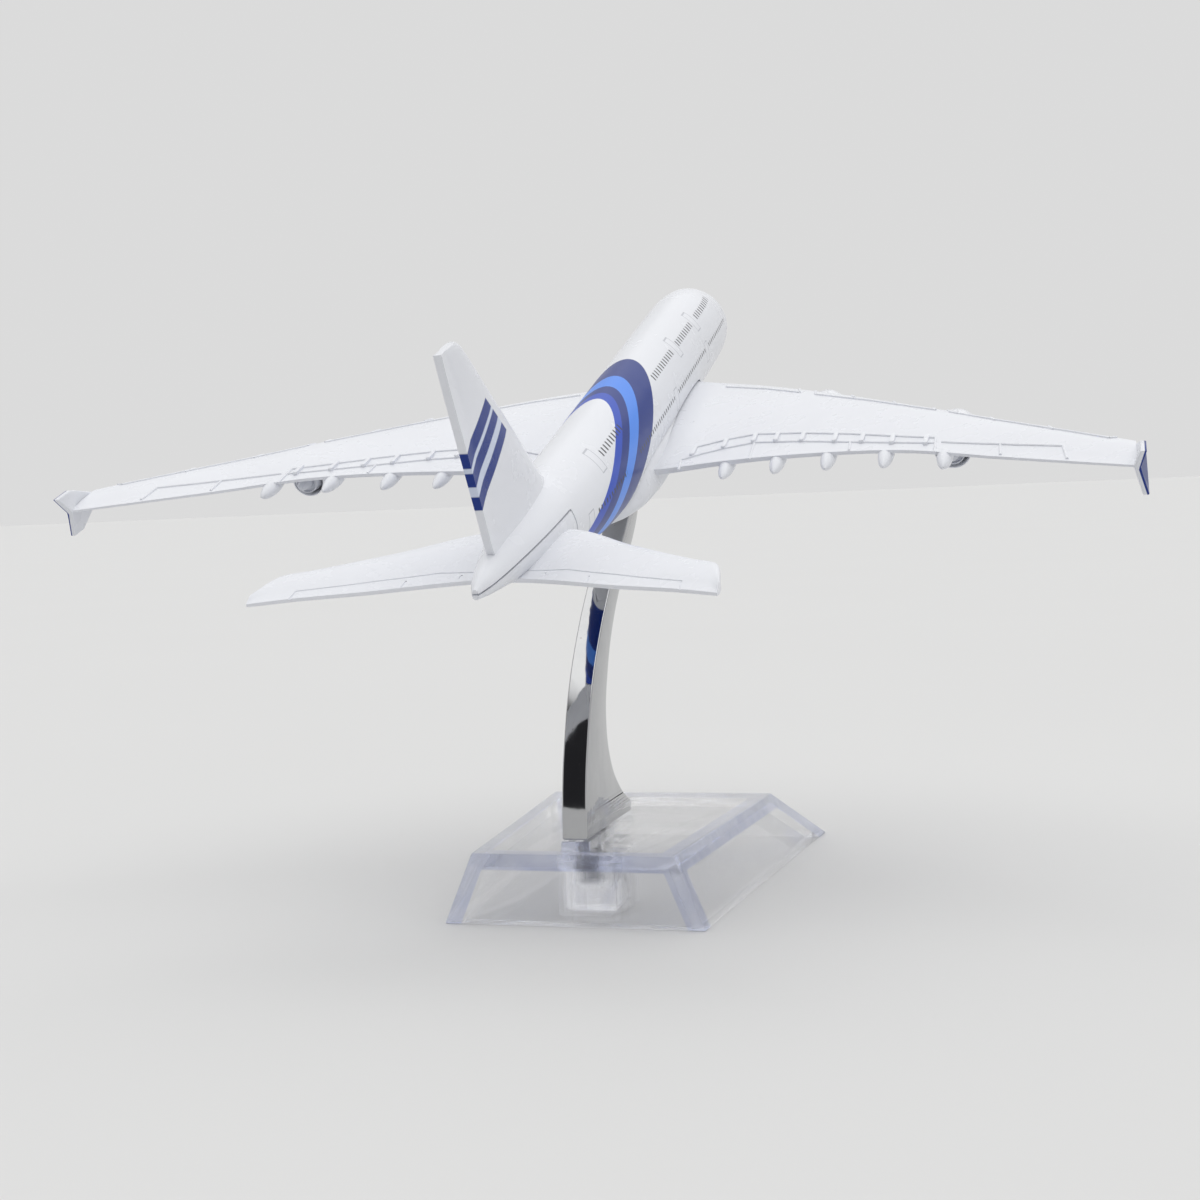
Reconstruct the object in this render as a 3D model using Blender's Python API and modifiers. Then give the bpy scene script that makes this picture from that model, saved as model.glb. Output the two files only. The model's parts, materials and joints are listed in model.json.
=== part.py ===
"""Desktop airliner: a die-cast double-deck airliner model on a chrome arm and a clear wedge base.

The aircraft is described in full-size metres, as (lateral, station behind the nose, height above the
fuselage axis), and MODEL_SCALE brings that down to the model. Nose towards -Y, +Z up, metres.
"""
import math

import bmesh
import bpy
from mathutils import Matrix, Vector

# Driving dimensions of the model as a whole.
MODEL_SCALE = 0.0022            # model metres for one metre of the full-size aircraft
NOSE_UP = math.radians(21.6)    # pitch of the aircraft on its stand
GAP = 0.0003                    # clearance between pieces that touch
G = GAP / MODEL_SCALE           # the same clearance in full-size metres
CENTRE_Y = 0.00391              # shifts the whole model so that its box is centred on the origin

# Stand base: a clear wedge shell, open underneath.
PLATE_LENGTH = 0.0577
PLATE_REAR_HALF = 0.0169
SIDE_SPREAD = 0.075             # sideways widening of the base for each unit forwards
SIDE_FLARE = 0.00485            # how far each side leans out from the plate to the table
REAR_RUN = 0.0007
FRONT_RUN = 0.0215
BASE_HEIGHT = 0.0114
BASE_WALL = 0.0028
FRONT_INSET = 1.9               # the sloping front wall's share of the wall, measured along Y
PLATE_THICK = 0.0026
SOCKET_SIZE = (0.0086, 0.0100)  # the moulded block that holds the arm's tenon
SOCKET_FLOOR = 0.0003
PAD_HEIGHT = 0.0016             # the raised rib that the arm's foot stands on
TENON_SIZE = (0.0032, 0.0055)
TENON_LENGTH = 0.0080

# Chrome arm, as an outline in the plane of symmetry.
ARM_THICK = 0.0042
ARM_FOOT_Z = BASE_HEIGHT + PAD_HEIGHT + GAP
ARM_FOOT_REAR = 0.0264
ARM_FOOT_TOE = -0.0002
SOCKET_Y = 0.0145               # middle of the socket and of the tenon
SEAT = (-0.01222, 0.06946)      # where the swivel pin's axis meets the belly
ARM_TOP_HALF = 0.0031
COLLAR_THICK = 0.0006

# Swivel pin and fasteners.
PIN_R = 0.0011
PIN_COLLAR_R = 0.0020
PIN_DOWN = 0.0040
PIN_UP = 0.0045
SCREW_R = 0.0008
SCREW_HEAD_R = 0.0016
SCREW_HEAD_H = 0.0009

# Aircraft, in full-size metres.
PEG_STATION = 37.0
BELLY_Z = -5.0
WALL = 0.75                     # casting wall of the hollow fuselage
SEAM_Z = 2.2                    # joint face between fuselage and tailplane casting
TAIL_FRONT = 59.2
CAVITY_STATIONS = (13.0, 16.0, 20.0, 30.0, 44.0, 50.0, 54.0)
BOSS_R = 0.0021
BOSS_SPAN = (0.2, 3.9)          # heights of the screw posts in the hollow
PILOT_SPAN = (-1.0, 2.6)
TAIL_PILOT_SPAN = (0.0, 3.4)
TAIL_SINK = 0.62                # depth of the tail screw's recess above the fuselage's lower line
ROOT_REACH = 7.0                # how far out the fuselage is cleared for the wing
RING_POINTS = 20
FULLER_BELOW = 0.05             # narrows the top of an oval section and widens its bottom
FAIRING_POWER = 2.6
UNDER_SHARE = 0.7               # a wing's depth below its chord as a share of that above
FIN_TE_THICK = 0.55
SCREW_STATIONS = (24.5, 43.0)
TAIL_SCREW_STATION = 62.5
WING_TIP = 40.12
ENGINES = (("inner", 15.4), ("outer", 26.9))
NACELLE_LENGTH = 5.6
NACELLE_DROP = 2.40             # from the wing's lower face at its leading edge to the engine's axis
NACELLE_AHEAD = 3.8
PYLON_HALF = 0.25
PYLON_ROOT = 1.36               # height of the pylon's foot above the engine's axis, inside the cowl
FLAP_TRACKS = (9.6, 13.8, 17.9, 22.4, 26.9)
TRACK_SIZE = (0.60, 2.6, 0.60)  # half sizes of a pod: across, along, up
OUTER_TRACK_LENGTH = 2.2
TRACK_AHEAD = 0.7               # middle of a pod, ahead of the trailing edge
TRACK_DROP = 0.30

# station, top, bottom, half width of the fuselage
FUSELAGE = (
    (0.0, -1.30, -1.50, 0.10),
    (0.35, -0.55, -2.20, 0.80),
    (1.3, 0.45, -2.95, 1.60),
    (3.0, 1.60, -3.60, 2.40),
    (5.5, 2.90, -4.00, 3.12),
    (8.5, 3.80, -4.18, 3.48),
    (12.0, 4.15, -4.20, 3.57),
    (20.0, 4.20, -4.20, 3.57),
    (44.0, 4.20, -4.20, 3.57),
    (50.0, 4.20, -3.70, 3.50),
    (56.0, 4.10, -2.50, 3.14),
    (62.0, 3.85, -0.90, 2.45),
    (68.0, 3.42, 0.72, 1.45),
    (71.3, 3.05, 1.50, 0.75),
    (72.73, 2.62, 1.90, 0.25),
)

# station, top, bottom, half width of the belly fairing that the wing casting carries
FAIRING = (
    (16.2, -3.50, -4.34, 1.30),
    (17.6, -2.30, -4.66, 2.60),
    (19.4, -1.20, -4.90, 3.60),
    (22.0, -0.60, BELLY_Z, 4.02),
    (30.0, -0.50, BELLY_Z, 4.12),
    (38.0, -0.50, BELLY_Z, 4.06),
    (42.0, -0.90, -4.86, 3.72),
    (45.0, -2.00, -4.50, 2.90),
    (47.6, -3.10, -4.06, 1.30),
)

# lateral, leading edge, trailing edge, height, nose-up twist in degrees, thickness of the wing
WING = (
    (0.0, 18.2, 40.6, -2.15, 1.4, 1.90),
    (3.9, 20.6, 40.8, -1.95, 1.4, 1.80),
    (9.0, 23.6, 41.1, -1.45, 1.2, 1.50),
    (15.5, 28.2, 42.2, -0.80, 0.8, 1.20),
    (23.3, 34.5, 44.4, -0.08, 0.4, 0.98),
    (30.8, 41.0, 48.5, 0.62, 0.2, 0.82),
    (36.2, 46.0, 51.9, 1.30, 0.0, 0.70),
    (WING_TIP, 49.7, 54.2, 1.75, 0.0, 0.62),
)

# lateral, leading edge, trailing edge, height, twist, thickness of the tailplane
TAILPLANE = (
    (0.0, 59.6, 67.6, 0.85, 0.0, 1.15),
    (2.0, 59.8, 68.0, 0.95, 0.0, 1.15),
    (8.5, 64.6, 70.6, 1.55, 0.0, 1.05),
    (13.0, 67.9, 72.25, 1.96, 0.0, 0.98),
    (14.9, 69.2, 73.1, 2.14, 0.0, 0.92),
    (15.65, 72.2, 73.4, 2.20, 0.0, 0.80),
)

# height, leading edge, trailing edge, thickness of the fin
FIN = (
    (3.0, 55.6, 68.9, 1.35),
    (4.2, 57.2, 69.2, 1.30),
    (9.0, 61.2, 70.1, 1.10),
    (13.5, 65.0, 71.0, 0.95),
    (16.8, 67.8, 71.6, 0.85),
    (17.7, 69.0, 71.75, 0.75),
)

# chord fraction and half-thickness fraction of the blunt-edged sections
SECTION = ((0.0, 0.0), (0.02, 0.42), (0.10, 0.80), (0.30, 1.0), (0.60, 0.80), (0.85, 0.45), (1.0, 0.30))

# station and height of each wingtip fence, seen from the side
FENCE = ((49.6, 1.50), (52.6, 2.95), (53.3, 3.20), (55.2, 3.20), (54.4, 1.75),
         (54.3, 1.10), (54.0, -0.40), (52.6, -0.40), (50.6, 1.05))
FENCE_THICK = 0.42
FENCE_OUT = 0.02                # middle of the plate, outboard of the wing's last section
FENCE_KINK = 1.6                # the plate leans outwards above and below this height
FENCE_LEAN = 0.25

# radius and distance behind the intake lip of the cowl, the fan disc and the core nozzle
COWL = ((1.26, 0.00), (1.41, 0.05), (1.61, 0.55), (1.71, 1.6), (1.70, 2.8), (1.58, 4.4),
        (1.40, NACELLE_LENGTH), (1.26, NACELLE_LENGTH), (1.26, 3.5), (0.50, 3.5),
        (0.50, 2.4), (1.26, 2.4), (1.26, 1.0), (1.18, 0.25))
FAN = ((0.0, 0.70), (0.25, 0.95), (0.42, 1.40), (0.46, 1.50), (1.12, 1.55), (1.12, 2.4 - G),
       (0.50 - G, 2.4 - G), (0.50 - G, 2.85), (0.0, 2.85))
CORE = ((0.0, 3.00), (0.50 - G, 3.00), (0.50 - G, 3.5 + G), (1.06, 3.5 + G), (1.10, 4.6),
        (0.94, 6.0), (0.58, 6.1), (0.40, 6.8), (0.0, 7.3))

PAINT_WHITE = (0.86, 0.87, 0.90)


# ---------------------------------------------------------------- helpers
def clear_scene():
    for obj in list(bpy.data.objects):
        bpy.data.objects.remove(obj, do_unlink=True)


def new_collection(name):
    coll = bpy.data.collections.new(name)
    bpy.context.scene.collection.children.link(coll)
    return coll


def material(name, colour, roughness, metallic, alpha=1.0):
    mat = bpy.data.materials.new(name)
    mat.use_nodes = True
    bsdf = mat.node_tree.nodes["Principled BSDF"]
    bsdf.inputs["Base Color"].default_value = (*colour, 1.0)
    bsdf.inputs["Roughness"].default_value = roughness
    bsdf.inputs["Metallic"].default_value = metallic
    bsdf.inputs["Alpha"].default_value = alpha
    return mat


def add_mesh(name, bm, coll):
    """Turns a bmesh into an object with its faces pointing out."""
    bmesh.ops.recalc_face_normals(bm, faces=bm.faces)
    mesh = bpy.data.meshes.new(name)
    bm.to_mesh(mesh)
    bm.free()
    obj = bpy.data.objects.new(name, mesh)
    coll.objects.link(obj)
    return obj


def loft(name, rings, coll):
    """A closed body through rings that hold the same number of points."""
    bm = bmesh.new()
    loops = [[bm.verts.new(point) for point in ring] for ring in rings]
    count = len(loops[0])
    for low, high in zip(loops, loops[1:]):
        for i in range(count):
            j = (i + 1) % count
            bm.faces.new((low[i], low[j], high[j], high[i]))
    bm.faces.new(loops[0])
    bm.faces.new(list(reversed(loops[-1])))
    return add_mesh(name, bm, coll)


def prism(name, outline, place, depth, coll):
    """An outline of 2D points, placed by place(u, v, side), with side from -depth to +depth."""
    rings = [[place(u, v, side) for u, v in outline] for side in (-depth, depth)]
    return loft(name, rings, coll)


def box(name, low, high, coll):
    bm = bmesh.new()
    bmesh.ops.create_cube(bm, size=1.0)
    size = Vector(high) - Vector(low)
    bmesh.ops.scale(bm, vec=size, verts=bm.verts)
    bmesh.ops.translate(bm, vec=(Vector(high) + Vector(low)) / 2, verts=bm.verts)
    return add_mesh(name, bm, coll)


def rod(name, radius, start, end, coll, segments=20):
    """A cylinder from start to end."""
    bm = bmesh.new()
    span = Vector(end) - Vector(start)
    turn = span.to_track_quat("Z", "Y").to_matrix().to_4x4()
    middle = (Vector(start) + Vector(end)) / 2
    bmesh.ops.create_cone(bm, cap_ends=True, segments=segments, radius1=radius, radius2=radius,
                          depth=span.length, matrix=Matrix.Translation(middle) @ turn)
    return add_mesh(name, bm, coll)


def turned(name, profile, coll, steps=24):
    """A (radius, height) profile, listed down its outer side, turned about Z.
    A profile that starts on the axis also ends there; any other closes on itself."""
    mesh = bpy.data.meshes.new(name)
    count = len(profile)
    edges = [(i, i + 1) for i in range(count - 1)]
    if profile[0][0] > 0:
        edges.append((count - 1, 0))
    mesh.from_pydata([(r, 0.0, z) for r, z in profile], edges, [])
    obj = bpy.data.objects.new(name, mesh)
    coll.objects.link(obj)
    screw = obj.modifiers.new("turn", "SCREW")
    screw.steps = steps
    screw.render_steps = steps
    screw.use_merge_vertices = True
    screw.merge_threshold = 0.00001
    return obj


def combine(target, tool, operation):
    """Adds a live exact Boolean to target. The tool is kept as a hidden cutter."""
    tool.hide_render = True
    tool.display_type = "WIRE"
    mod = target.modifiers.new(operation.lower() + "_" + tool.name, "BOOLEAN")
    mod.operation = operation
    mod.solver = "EXACT"
    mod.object = tool


def finish(obj, mat, angle=35.0):
    obj.data.materials.clear()
    obj.data.materials.append(mat)
    obj.data.shade_smooth()
    obj.data.set_sharp_from_angle(angle=math.radians(angle))


def aircraft(lateral, station, height):
    """A point of the aircraft, in the model's metres about the swivel seat in the belly."""
    return Vector((lateral, station - PEG_STATION, height - BELLY_Z)) * MODEL_SCALE


def interpolate(table, value):
    """The row of a table at a value of its first column, straight between rows."""
    if value <= table[0][0]:
        return table[0]
    for low, high in zip(table, table[1:]):
        if value <= high[0]:
            t = (value - low[0]) / (high[0] - low[0])
            return tuple(a + (b - a) * t for a, b in zip(low, high))
    return table[-1]


# ---------------------------------------------------------------- fuselage
def body_ring(station, top, bottom, half, grow=0.0, power=2.0):
    """One cross-section of a fuselage-like body, an oval a little fuller below."""
    points = []
    for k in range(RING_POINTS):
        angle = 2 * math.pi * k / RING_POINTS
        c, s = math.cos(angle), math.sin(angle)
        across = math.copysign(abs(s) ** (2 / power), s)
        up = math.copysign(abs(c) ** (2 / power), c)
        x = (half + grow) * across * (1.0 - FULLER_BELOW * up)
        z = (top + bottom) / 2 + ((top - bottom) / 2 + grow) * up
        points.append(aircraft(x, station, z))
    return points


def body(name, table, coll, grow=0.0, power=2.0):
    rings = [body_ring(*row, grow, power) for row in table]
    return loft(name, rings, coll)


def cavity(coll):
    """The hollow inside the fuselage, which the belly opening leaves open."""
    rows = [interpolate(FUSELAGE, station) for station in CAVITY_STATIONS]
    return body("fuselage_cavity", rows, coll, grow=-WALL)


def fin(coll):
    rings = []
    for height, lead, trail, thick in FIN:
        side = [(lead + (trail - lead) * c, max(t * thick / 2, FIN_TE_THICK / 2 * c))
                for c, t in SECTION]
        right = [aircraft(t, s, height) for s, t in side]
        left = [aircraft(-t, s, height) for s, t in reversed(side[1:])]
        rings.append(right + left)
    return loft("fin_blank", rings, coll)


def screw_boss(coll, station):
    """A post inside the hollow fuselage, into which a belly screw bites."""
    low, high = BOSS_SPAN
    return rod("boss_%d" % station, BOSS_R, aircraft(0, station, low), aircraft(0, station, high), coll, 12)


def pilot_hole(coll, station, span):
    low, high = span
    return rod("pilot_%d" % station, SCREW_R + GAP, aircraft(0, station, low),
               aircraft(0, station, high), coll, 12)


def fuselage(parts, cutters, mat):
    obj = body("fuselage_casting", FUSELAGE, parts)
    combine(obj, fin(cutters), "UNION")
    combine(obj, cavity(cutters), "DIFFERENCE")
    for station in SCREW_STATIONS:
        combine(obj, screw_boss(cutters, station), "UNION")
    combine(obj, body("belly_opening", FAIRING, cutters, grow=G, power=FAIRING_POWER), "DIFFERENCE")
    combine(obj, wing_loft("wing_clearance", cutters, grow=G, reach=ROOT_REACH), "DIFFERENCE")
    tail_low = aircraft(-4, TAIL_FRONT - G, -5)
    tail_high = aircraft(4, 74, SEAM_Z + G)
    combine(obj, box("tail_seat", tail_low, tail_high, cutters), "DIFFERENCE")
    for station in SCREW_STATIONS:
        combine(obj, pilot_hole(cutters, station, PILOT_SPAN), "DIFFERENCE")
    combine(obj, pilot_hole(cutters, TAIL_SCREW_STATION, TAIL_PILOT_SPAN), "DIFFERENCE")
    finish(obj, mat)
    return obj


# ---------------------------------------------------------------- lifting surfaces
def surface_ring(row, side, grow=0.0):
    """One section of a wing or tailplane at its row's lateral position, with a blunt rear edge."""
    lateral, lead, trail, height, twist, thick = row
    lead, trail = lead - grow, trail + grow
    chord = trail - lead
    slope = math.tan(math.radians(twist))
    upper = [(lead + chord * c, t * thick / 2 + (grow if t else 0.0)) for c, t in SECTION]
    lower = [(s, -UNDER_SHARE * (t - (grow if t else 0.0)) - (grow if t else 0.0))
             for s, t in reversed(upper[1:])]
    points = []
    for station, offset in upper + lower:
        drop = (station - (lead + 0.3 * chord)) * slope
        points.append(aircraft(side * lateral, station, height + offset - drop))
    return points


def surface_loft(name, table, coll, grow=0.0):
    """Both halves of a wing or tailplane in one closed body, from tip to tip."""
    rings = [surface_ring(row, -1, grow) for row in reversed(table[1:])]
    rings += [surface_ring(row, 1, grow) for row in table]
    return loft(name, rings, coll)


def wing_loft(name, coll, grow=0.0, reach=None):
    table = WING
    if reach is not None:
        table = [row for row in WING if row[0] < reach] + [interpolate(WING, reach)]
    return surface_loft(name, table, coll, grow)


def wing_under(lateral, station):
    """Height of the wing's lower face at a point of its plan."""
    _, lead, trail, height, twist, thick = interpolate(WING, lateral)
    fraction = min(max((station - lead) / (trail - lead), 0.0), 1.0)
    half = interpolate(SECTION, fraction)[1] * thick / 2
    drop = (station - (lead + 0.3 * (trail - lead))) * math.tan(math.radians(twist))
    return height - UNDER_SHARE * half - drop


def fence(coll, side):
    """A swept plate above and below the wingtip."""
    def place(station, height, offset):
        lean = FENCE_LEAN * abs(height - FENCE_KINK)
        return aircraft(side * (WING_TIP + FENCE_OUT + lean) + offset, station, height)
    return prism("fence_%d" % side, FENCE, place, FENCE_THICK / 2, coll)


def flap_track(coll, side, lateral):
    """A pod under the trailing edge, pointed at both ends."""
    middle = interpolate(WING, lateral)[2] - TRACK_AHEAD
    across, along, up = TRACK_SIZE
    if lateral == FLAP_TRACKS[-1]:
        along = OUTER_TRACK_LENGTH
    bm = bmesh.new()
    bmesh.ops.create_uvsphere(bm, u_segments=8, v_segments=6, radius=1.0)
    bmesh.ops.rotate(bm, cent=(0, 0, 0), matrix=Matrix.Rotation(math.pi / 2, 3, "X"), verts=bm.verts)
    bmesh.ops.scale(bm, vec=Vector((across, along, up)) * MODEL_SCALE, verts=bm.verts)
    centre = aircraft(side * lateral, middle, wing_under(lateral, middle) - TRACK_DROP)
    bmesh.ops.translate(bm, vec=centre, verts=bm.verts)
    return add_mesh("track_%d_%d" % (side, lateral), bm, coll)


def wing_casting(parts, cutters, mat):
    obj = wing_loft("wing_casting", parts)
    combine(obj, body("belly_fairing", FAIRING, cutters, power=FAIRING_POWER), "UNION")
    for side in (-1, 1):
        combine(obj, fence(cutters, side), "UNION")
        for lateral in FLAP_TRACKS:
            combine(obj, flap_track(cutters, side, lateral), "UNION")
    peg_bore = rod("peg_bore", PIN_R + GAP, (0, 0, -0.001), (0, 0, PIN_UP + 2 * GAP), cutters, 20)
    combine(obj, peg_bore, "DIFFERENCE")
    for station in SCREW_STATIONS:
        low = interpolate(FAIRING, station)[2]
        clear = rod("clear_%d" % station, SCREW_R + GAP, aircraft(0, station, low - 1),
                    aircraft(0, station, 1.0), cutters, 12)
        combine(obj, clear, "DIFFERENCE")
        sink = rod("sink_%d" % station, SCREW_HEAD_R + GAP, aircraft(0, station, low - 1),
                   aircraft(0, station, low) + Vector((0, 0, SCREW_HEAD_H + GAP)), cutters, 16)
        combine(obj, sink, "DIFFERENCE")
    finish(obj, mat)
    return obj


def tailplane_casting(parts, cutters, mat):
    """The tailplane, in one piece with the underside of the tail cone."""
    obj = body("tailplane_casting", FUSELAGE, parts)
    keep = box("tail_keep", aircraft(-4, TAIL_FRONT, -5), aircraft(4, 74, SEAM_Z), cutters)
    combine(obj, keep, "INTERSECT")
    combine(obj, surface_loft("tailplane_blank", TAILPLANE, cutters), "UNION")
    station = TAIL_SCREW_STATION
    low = interpolate(FUSELAGE, station)[2]
    combine(obj, rod("tail_clear", SCREW_R + GAP, aircraft(0, station, low - 1),
                     aircraft(0, station, 2.5), cutters, 12), "DIFFERENCE")
    combine(obj, rod("tail_sink", SCREW_HEAD_R + GAP, aircraft(0, station, low - 2),
                     aircraft(0, station, low + TAIL_SINK), cutters, 16), "DIFFERENCE")
    finish(obj, mat)
    return obj


# ---------------------------------------------------------------- engines
def engine_centre(lateral):
    """Station and height of the middle of a nacelle's intake lip."""
    lead = interpolate(WING, abs(lateral))[1]
    return lead - NACELLE_AHEAD, wing_under(abs(lateral), lead) - NACELLE_DROP


def engine_piece(name, profile, lateral, coll, steps):
    """A piece turned from a (radius, distance behind the lip) profile, laid along the aircraft."""
    station, height = engine_centre(lateral)
    obj = turned(name, [(r * MODEL_SCALE, -d * MODEL_SCALE) for r, d in profile], coll, steps)
    obj.rotation_euler = (math.pi / 2, 0, 0)
    obj.location = aircraft(lateral, station, height)
    return obj


def pylon(name, lateral, coll):
    """The blade between a cowl and the underside of the wing."""
    station, height = engine_centre(lateral)
    lead = interpolate(WING, abs(lateral))[1]
    low = height + PYLON_ROOT

    def seat(place):
        return wing_under(abs(lateral), place) - G - 0.05

    stops = ((station + 0.8, low, low + 0.38), (lead - 1.0, low, low + 0.70),
             (lead - 0.4, low, seat(lead + 0.4)), (lead + 0.4, low, seat(lead + 0.4)),
             (lead + 1.6, low, seat(lead + 1.6)), (lead + 3.0, low, seat(lead + 3.0)),
             (lead + 4.2, seat(lead + 4.2) - 0.5, seat(lead + 4.2)),
             (lead + 5.2, seat(lead + 5.2) - 0.12, seat(lead + 5.2)))
    rings = []
    for place, bottom, top in stops:
        rings.append([aircraft(lateral + x, place, z) for x, z in
                      ((-PYLON_HALF, bottom), (PYLON_HALF, bottom), (PYLON_HALF, top), (-PYLON_HALF, top))])
    return loft(name, rings, coll)


def engine(place, side, lateral, parts, cutters, paints):
    """Cowl with its pylon, fan disc in front of the web, core nozzle behind it."""
    tag = "%s_%s" % (place, "port" if side > 0 else "starboard")
    cowl = engine_piece("nacelle_" + tag, COWL, side * lateral, parts, 18)
    combine(cowl, pylon("pylon_" + tag, side * lateral, cutters), "UNION")
    finish(cowl, paints["cowl"])
    fan = engine_piece("fan_disc_" + tag, FAN, side * lateral, parts, 14)
    finish(fan, paints["fan"])
    core = engine_piece("core_nozzle_" + tag, CORE, side * lateral, parts, 14)
    finish(core, paints["core"])
    return [cowl, fan, core]


# ---------------------------------------------------------------- fasteners and pin
def screw_profile(length):
    """Half-section of a pan-head screw, head down: radius, height above the head's face."""
    return [(0.0, length), (SCREW_R, length - 0.0006), (SCREW_R, SCREW_HEAD_H),
            (SCREW_HEAD_R, SCREW_HEAD_H), (SCREW_HEAD_R, 0.0003), (SCREW_HEAD_R - 0.0003, 0.0), (0.0, 0.0)]


def screw(name, station, face, top, parts, mat):
    """A screw whose head's outer face is at height face and whose tip is at height top."""
    obj = turned(name, screw_profile((top - face) * MODEL_SCALE), parts, 16)
    obj.location = aircraft(0, station, face)
    finish(obj, mat)
    return obj


def fasteners(parts, mat):
    front, rear = SCREW_STATIONS
    tail_face = interpolate(FUSELAGE, TAIL_SCREW_STATION)[2] + 0.18
    return [screw("wing_screw_front", front, interpolate(FAIRING, front)[2] + 0.02, 2.4, parts, mat),
            screw("wing_screw_rear", rear, interpolate(FAIRING, rear)[2] + 0.02, 2.4, parts, mat),
            screw("tail_screw", TAIL_SCREW_STATION, tail_face, 3.0, parts, mat)]


def swivel_pin(parts, mat):
    """The stepped pin that the aircraft turns on and lifts off, about its own Z axis."""
    collar_top = -GAP
    collar_low = -GAP - COLLAR_THICK
    profile = [(0.0, PIN_UP), (PIN_R - 0.0003, PIN_UP), (PIN_R, PIN_UP - 0.0004), (PIN_R, collar_top),
               (PIN_COLLAR_R, collar_top), (PIN_COLLAR_R, collar_low), (PIN_R, collar_low),
               (PIN_R, -PIN_DOWN), (0.0, -PIN_DOWN)]
    obj = turned("swivel_pin", profile, parts, 20)
    finish(obj, mat)
    return obj


# ---------------------------------------------------------------- stand
def seat_point(along, up):
    """A point of the symmetry plane in the tilted frame of the swivel seat, as (Y, Z)."""
    c, s = math.cos(NOSE_UP), math.sin(NOSE_UP)
    return (SEAT[0] + along * c + up * s, SEAT[1] - along * s + up * c)


def arm_outline():
    """(Y, Z, is it a corner) around the arm: up its front, over its seat and down its back."""
    seat = -2 * GAP - COLLAR_THICK
    return [(ARM_FOOT_TOE, ARM_FOOT_Z, True), (ARM_FOOT_TOE - 0.0002, ARM_FOOT_Z + 0.0018, True),
            (0.0061, 0.0186, False), (0.0112, 0.0242, False), (0.0127, 0.0310, False),
            (0.0108, 0.0385, False), (0.0060, 0.0468, False), (-0.0020, 0.0550, False),
            (-0.0110, 0.0630, False), (*seat_point(-ARM_TOP_HALF, seat), True),
            (*seat_point(ARM_TOP_HALF, seat), True), (-0.0005, 0.0595, False),
            (0.0078, 0.0522, False), (0.0145, 0.0450, False), (0.0199, 0.0372, False),
            (0.0233, 0.0295, False), (0.0256, 0.0215, False), (ARM_FOOT_REAR, ARM_FOOT_Z, True)]


def arm_blank(coll):
    """The arm's outline as a filled curve, made into a closed mesh."""
    curve = bpy.data.curves.new("arm_outline", "CURVE")
    curve.dimensions = "2D"
    curve.fill_mode = "BOTH"
    curve.extrude = ARM_THICK / 2
    curve.resolution_u = 4
    outline = arm_outline()
    spline = curve.splines.new("BEZIER")
    spline.bezier_points.add(len(outline) - 1)
    for point, (y, z, corner) in zip(spline.bezier_points, outline):
        point.co = (y, z, 0.0)
        point.handle_left_type = point.handle_right_type = "VECTOR" if corner else "AUTO"
    spline.use_cyclic_u = True
    drawn = bpy.data.objects.new("arm_outline", curve)
    drawn.rotation_euler = (math.pi / 2, 0, math.pi / 2)
    coll.objects.link(drawn)
    bpy.context.view_layer.update()
    evaluated = drawn.evaluated_get(bpy.context.evaluated_depsgraph_get())
    bm = bmesh.new()
    bm.from_mesh(bpy.data.meshes.new_from_object(evaluated))
    bm.transform(drawn.matrix_world)
    bmesh.ops.remove_doubles(bm, verts=bm.verts, dist=0.00001)
    bpy.data.objects.remove(drawn)
    return add_mesh("stand_arm", bm, coll)


def stand_arm(parts, cutters, mat):
    obj = arm_blank(parts)
    ease = obj.modifiers.new("eased_edges", "BEVEL")
    ease.width = 0.0004
    ease.segments = 1
    ease.limit_method = "ANGLE"
    ease.angle_limit = math.radians(50)
    half_x, half_y = TENON_SIZE[0] / 2, TENON_SIZE[1] / 2
    tenon = box("tenon", (-half_x, SOCKET_Y - half_y, ARM_FOOT_Z - TENON_LENGTH),
                (half_x, SOCKET_Y + half_y, ARM_FOOT_Z + 0.002), cutters)
    combine(obj, tenon, "UNION")
    top, low = Vector((0, *seat_point(0, 0.001))), Vector((0, *seat_point(0, -PIN_DOWN - GAP)))
    combine(obj, rod("pin_bore", PIN_R + GAP, low, top, cutters, 20), "DIFFERENCE")
    finish(obj, mat)
    return obj


def wedge(name, inset, top, low, coll):
    """The base's outer form, or the form of its hollow when inset is the wall."""
    rear, front = PLATE_LENGTH / 2, -PLATE_LENGTH / 2

    def half(y, flare):
        return PLATE_REAR_HALF + SIDE_SPREAD * (rear - y) + flare - inset

    rings = []
    for z in (top, low):
        share = (BASE_HEIGHT - z) / BASE_HEIGHT
        back = rear + REAR_RUN * share - inset
        fore = front - FRONT_RUN * share + inset * FRONT_INSET
        flare = SIDE_FLARE * share
        rings.append([Vector((half(back, flare), back, z)), Vector((-half(back, flare), back, z)),
                      Vector((-half(fore, flare), fore, z)), Vector((half(fore, flare), fore, z))])
    return loft(name, rings, coll)


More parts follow.
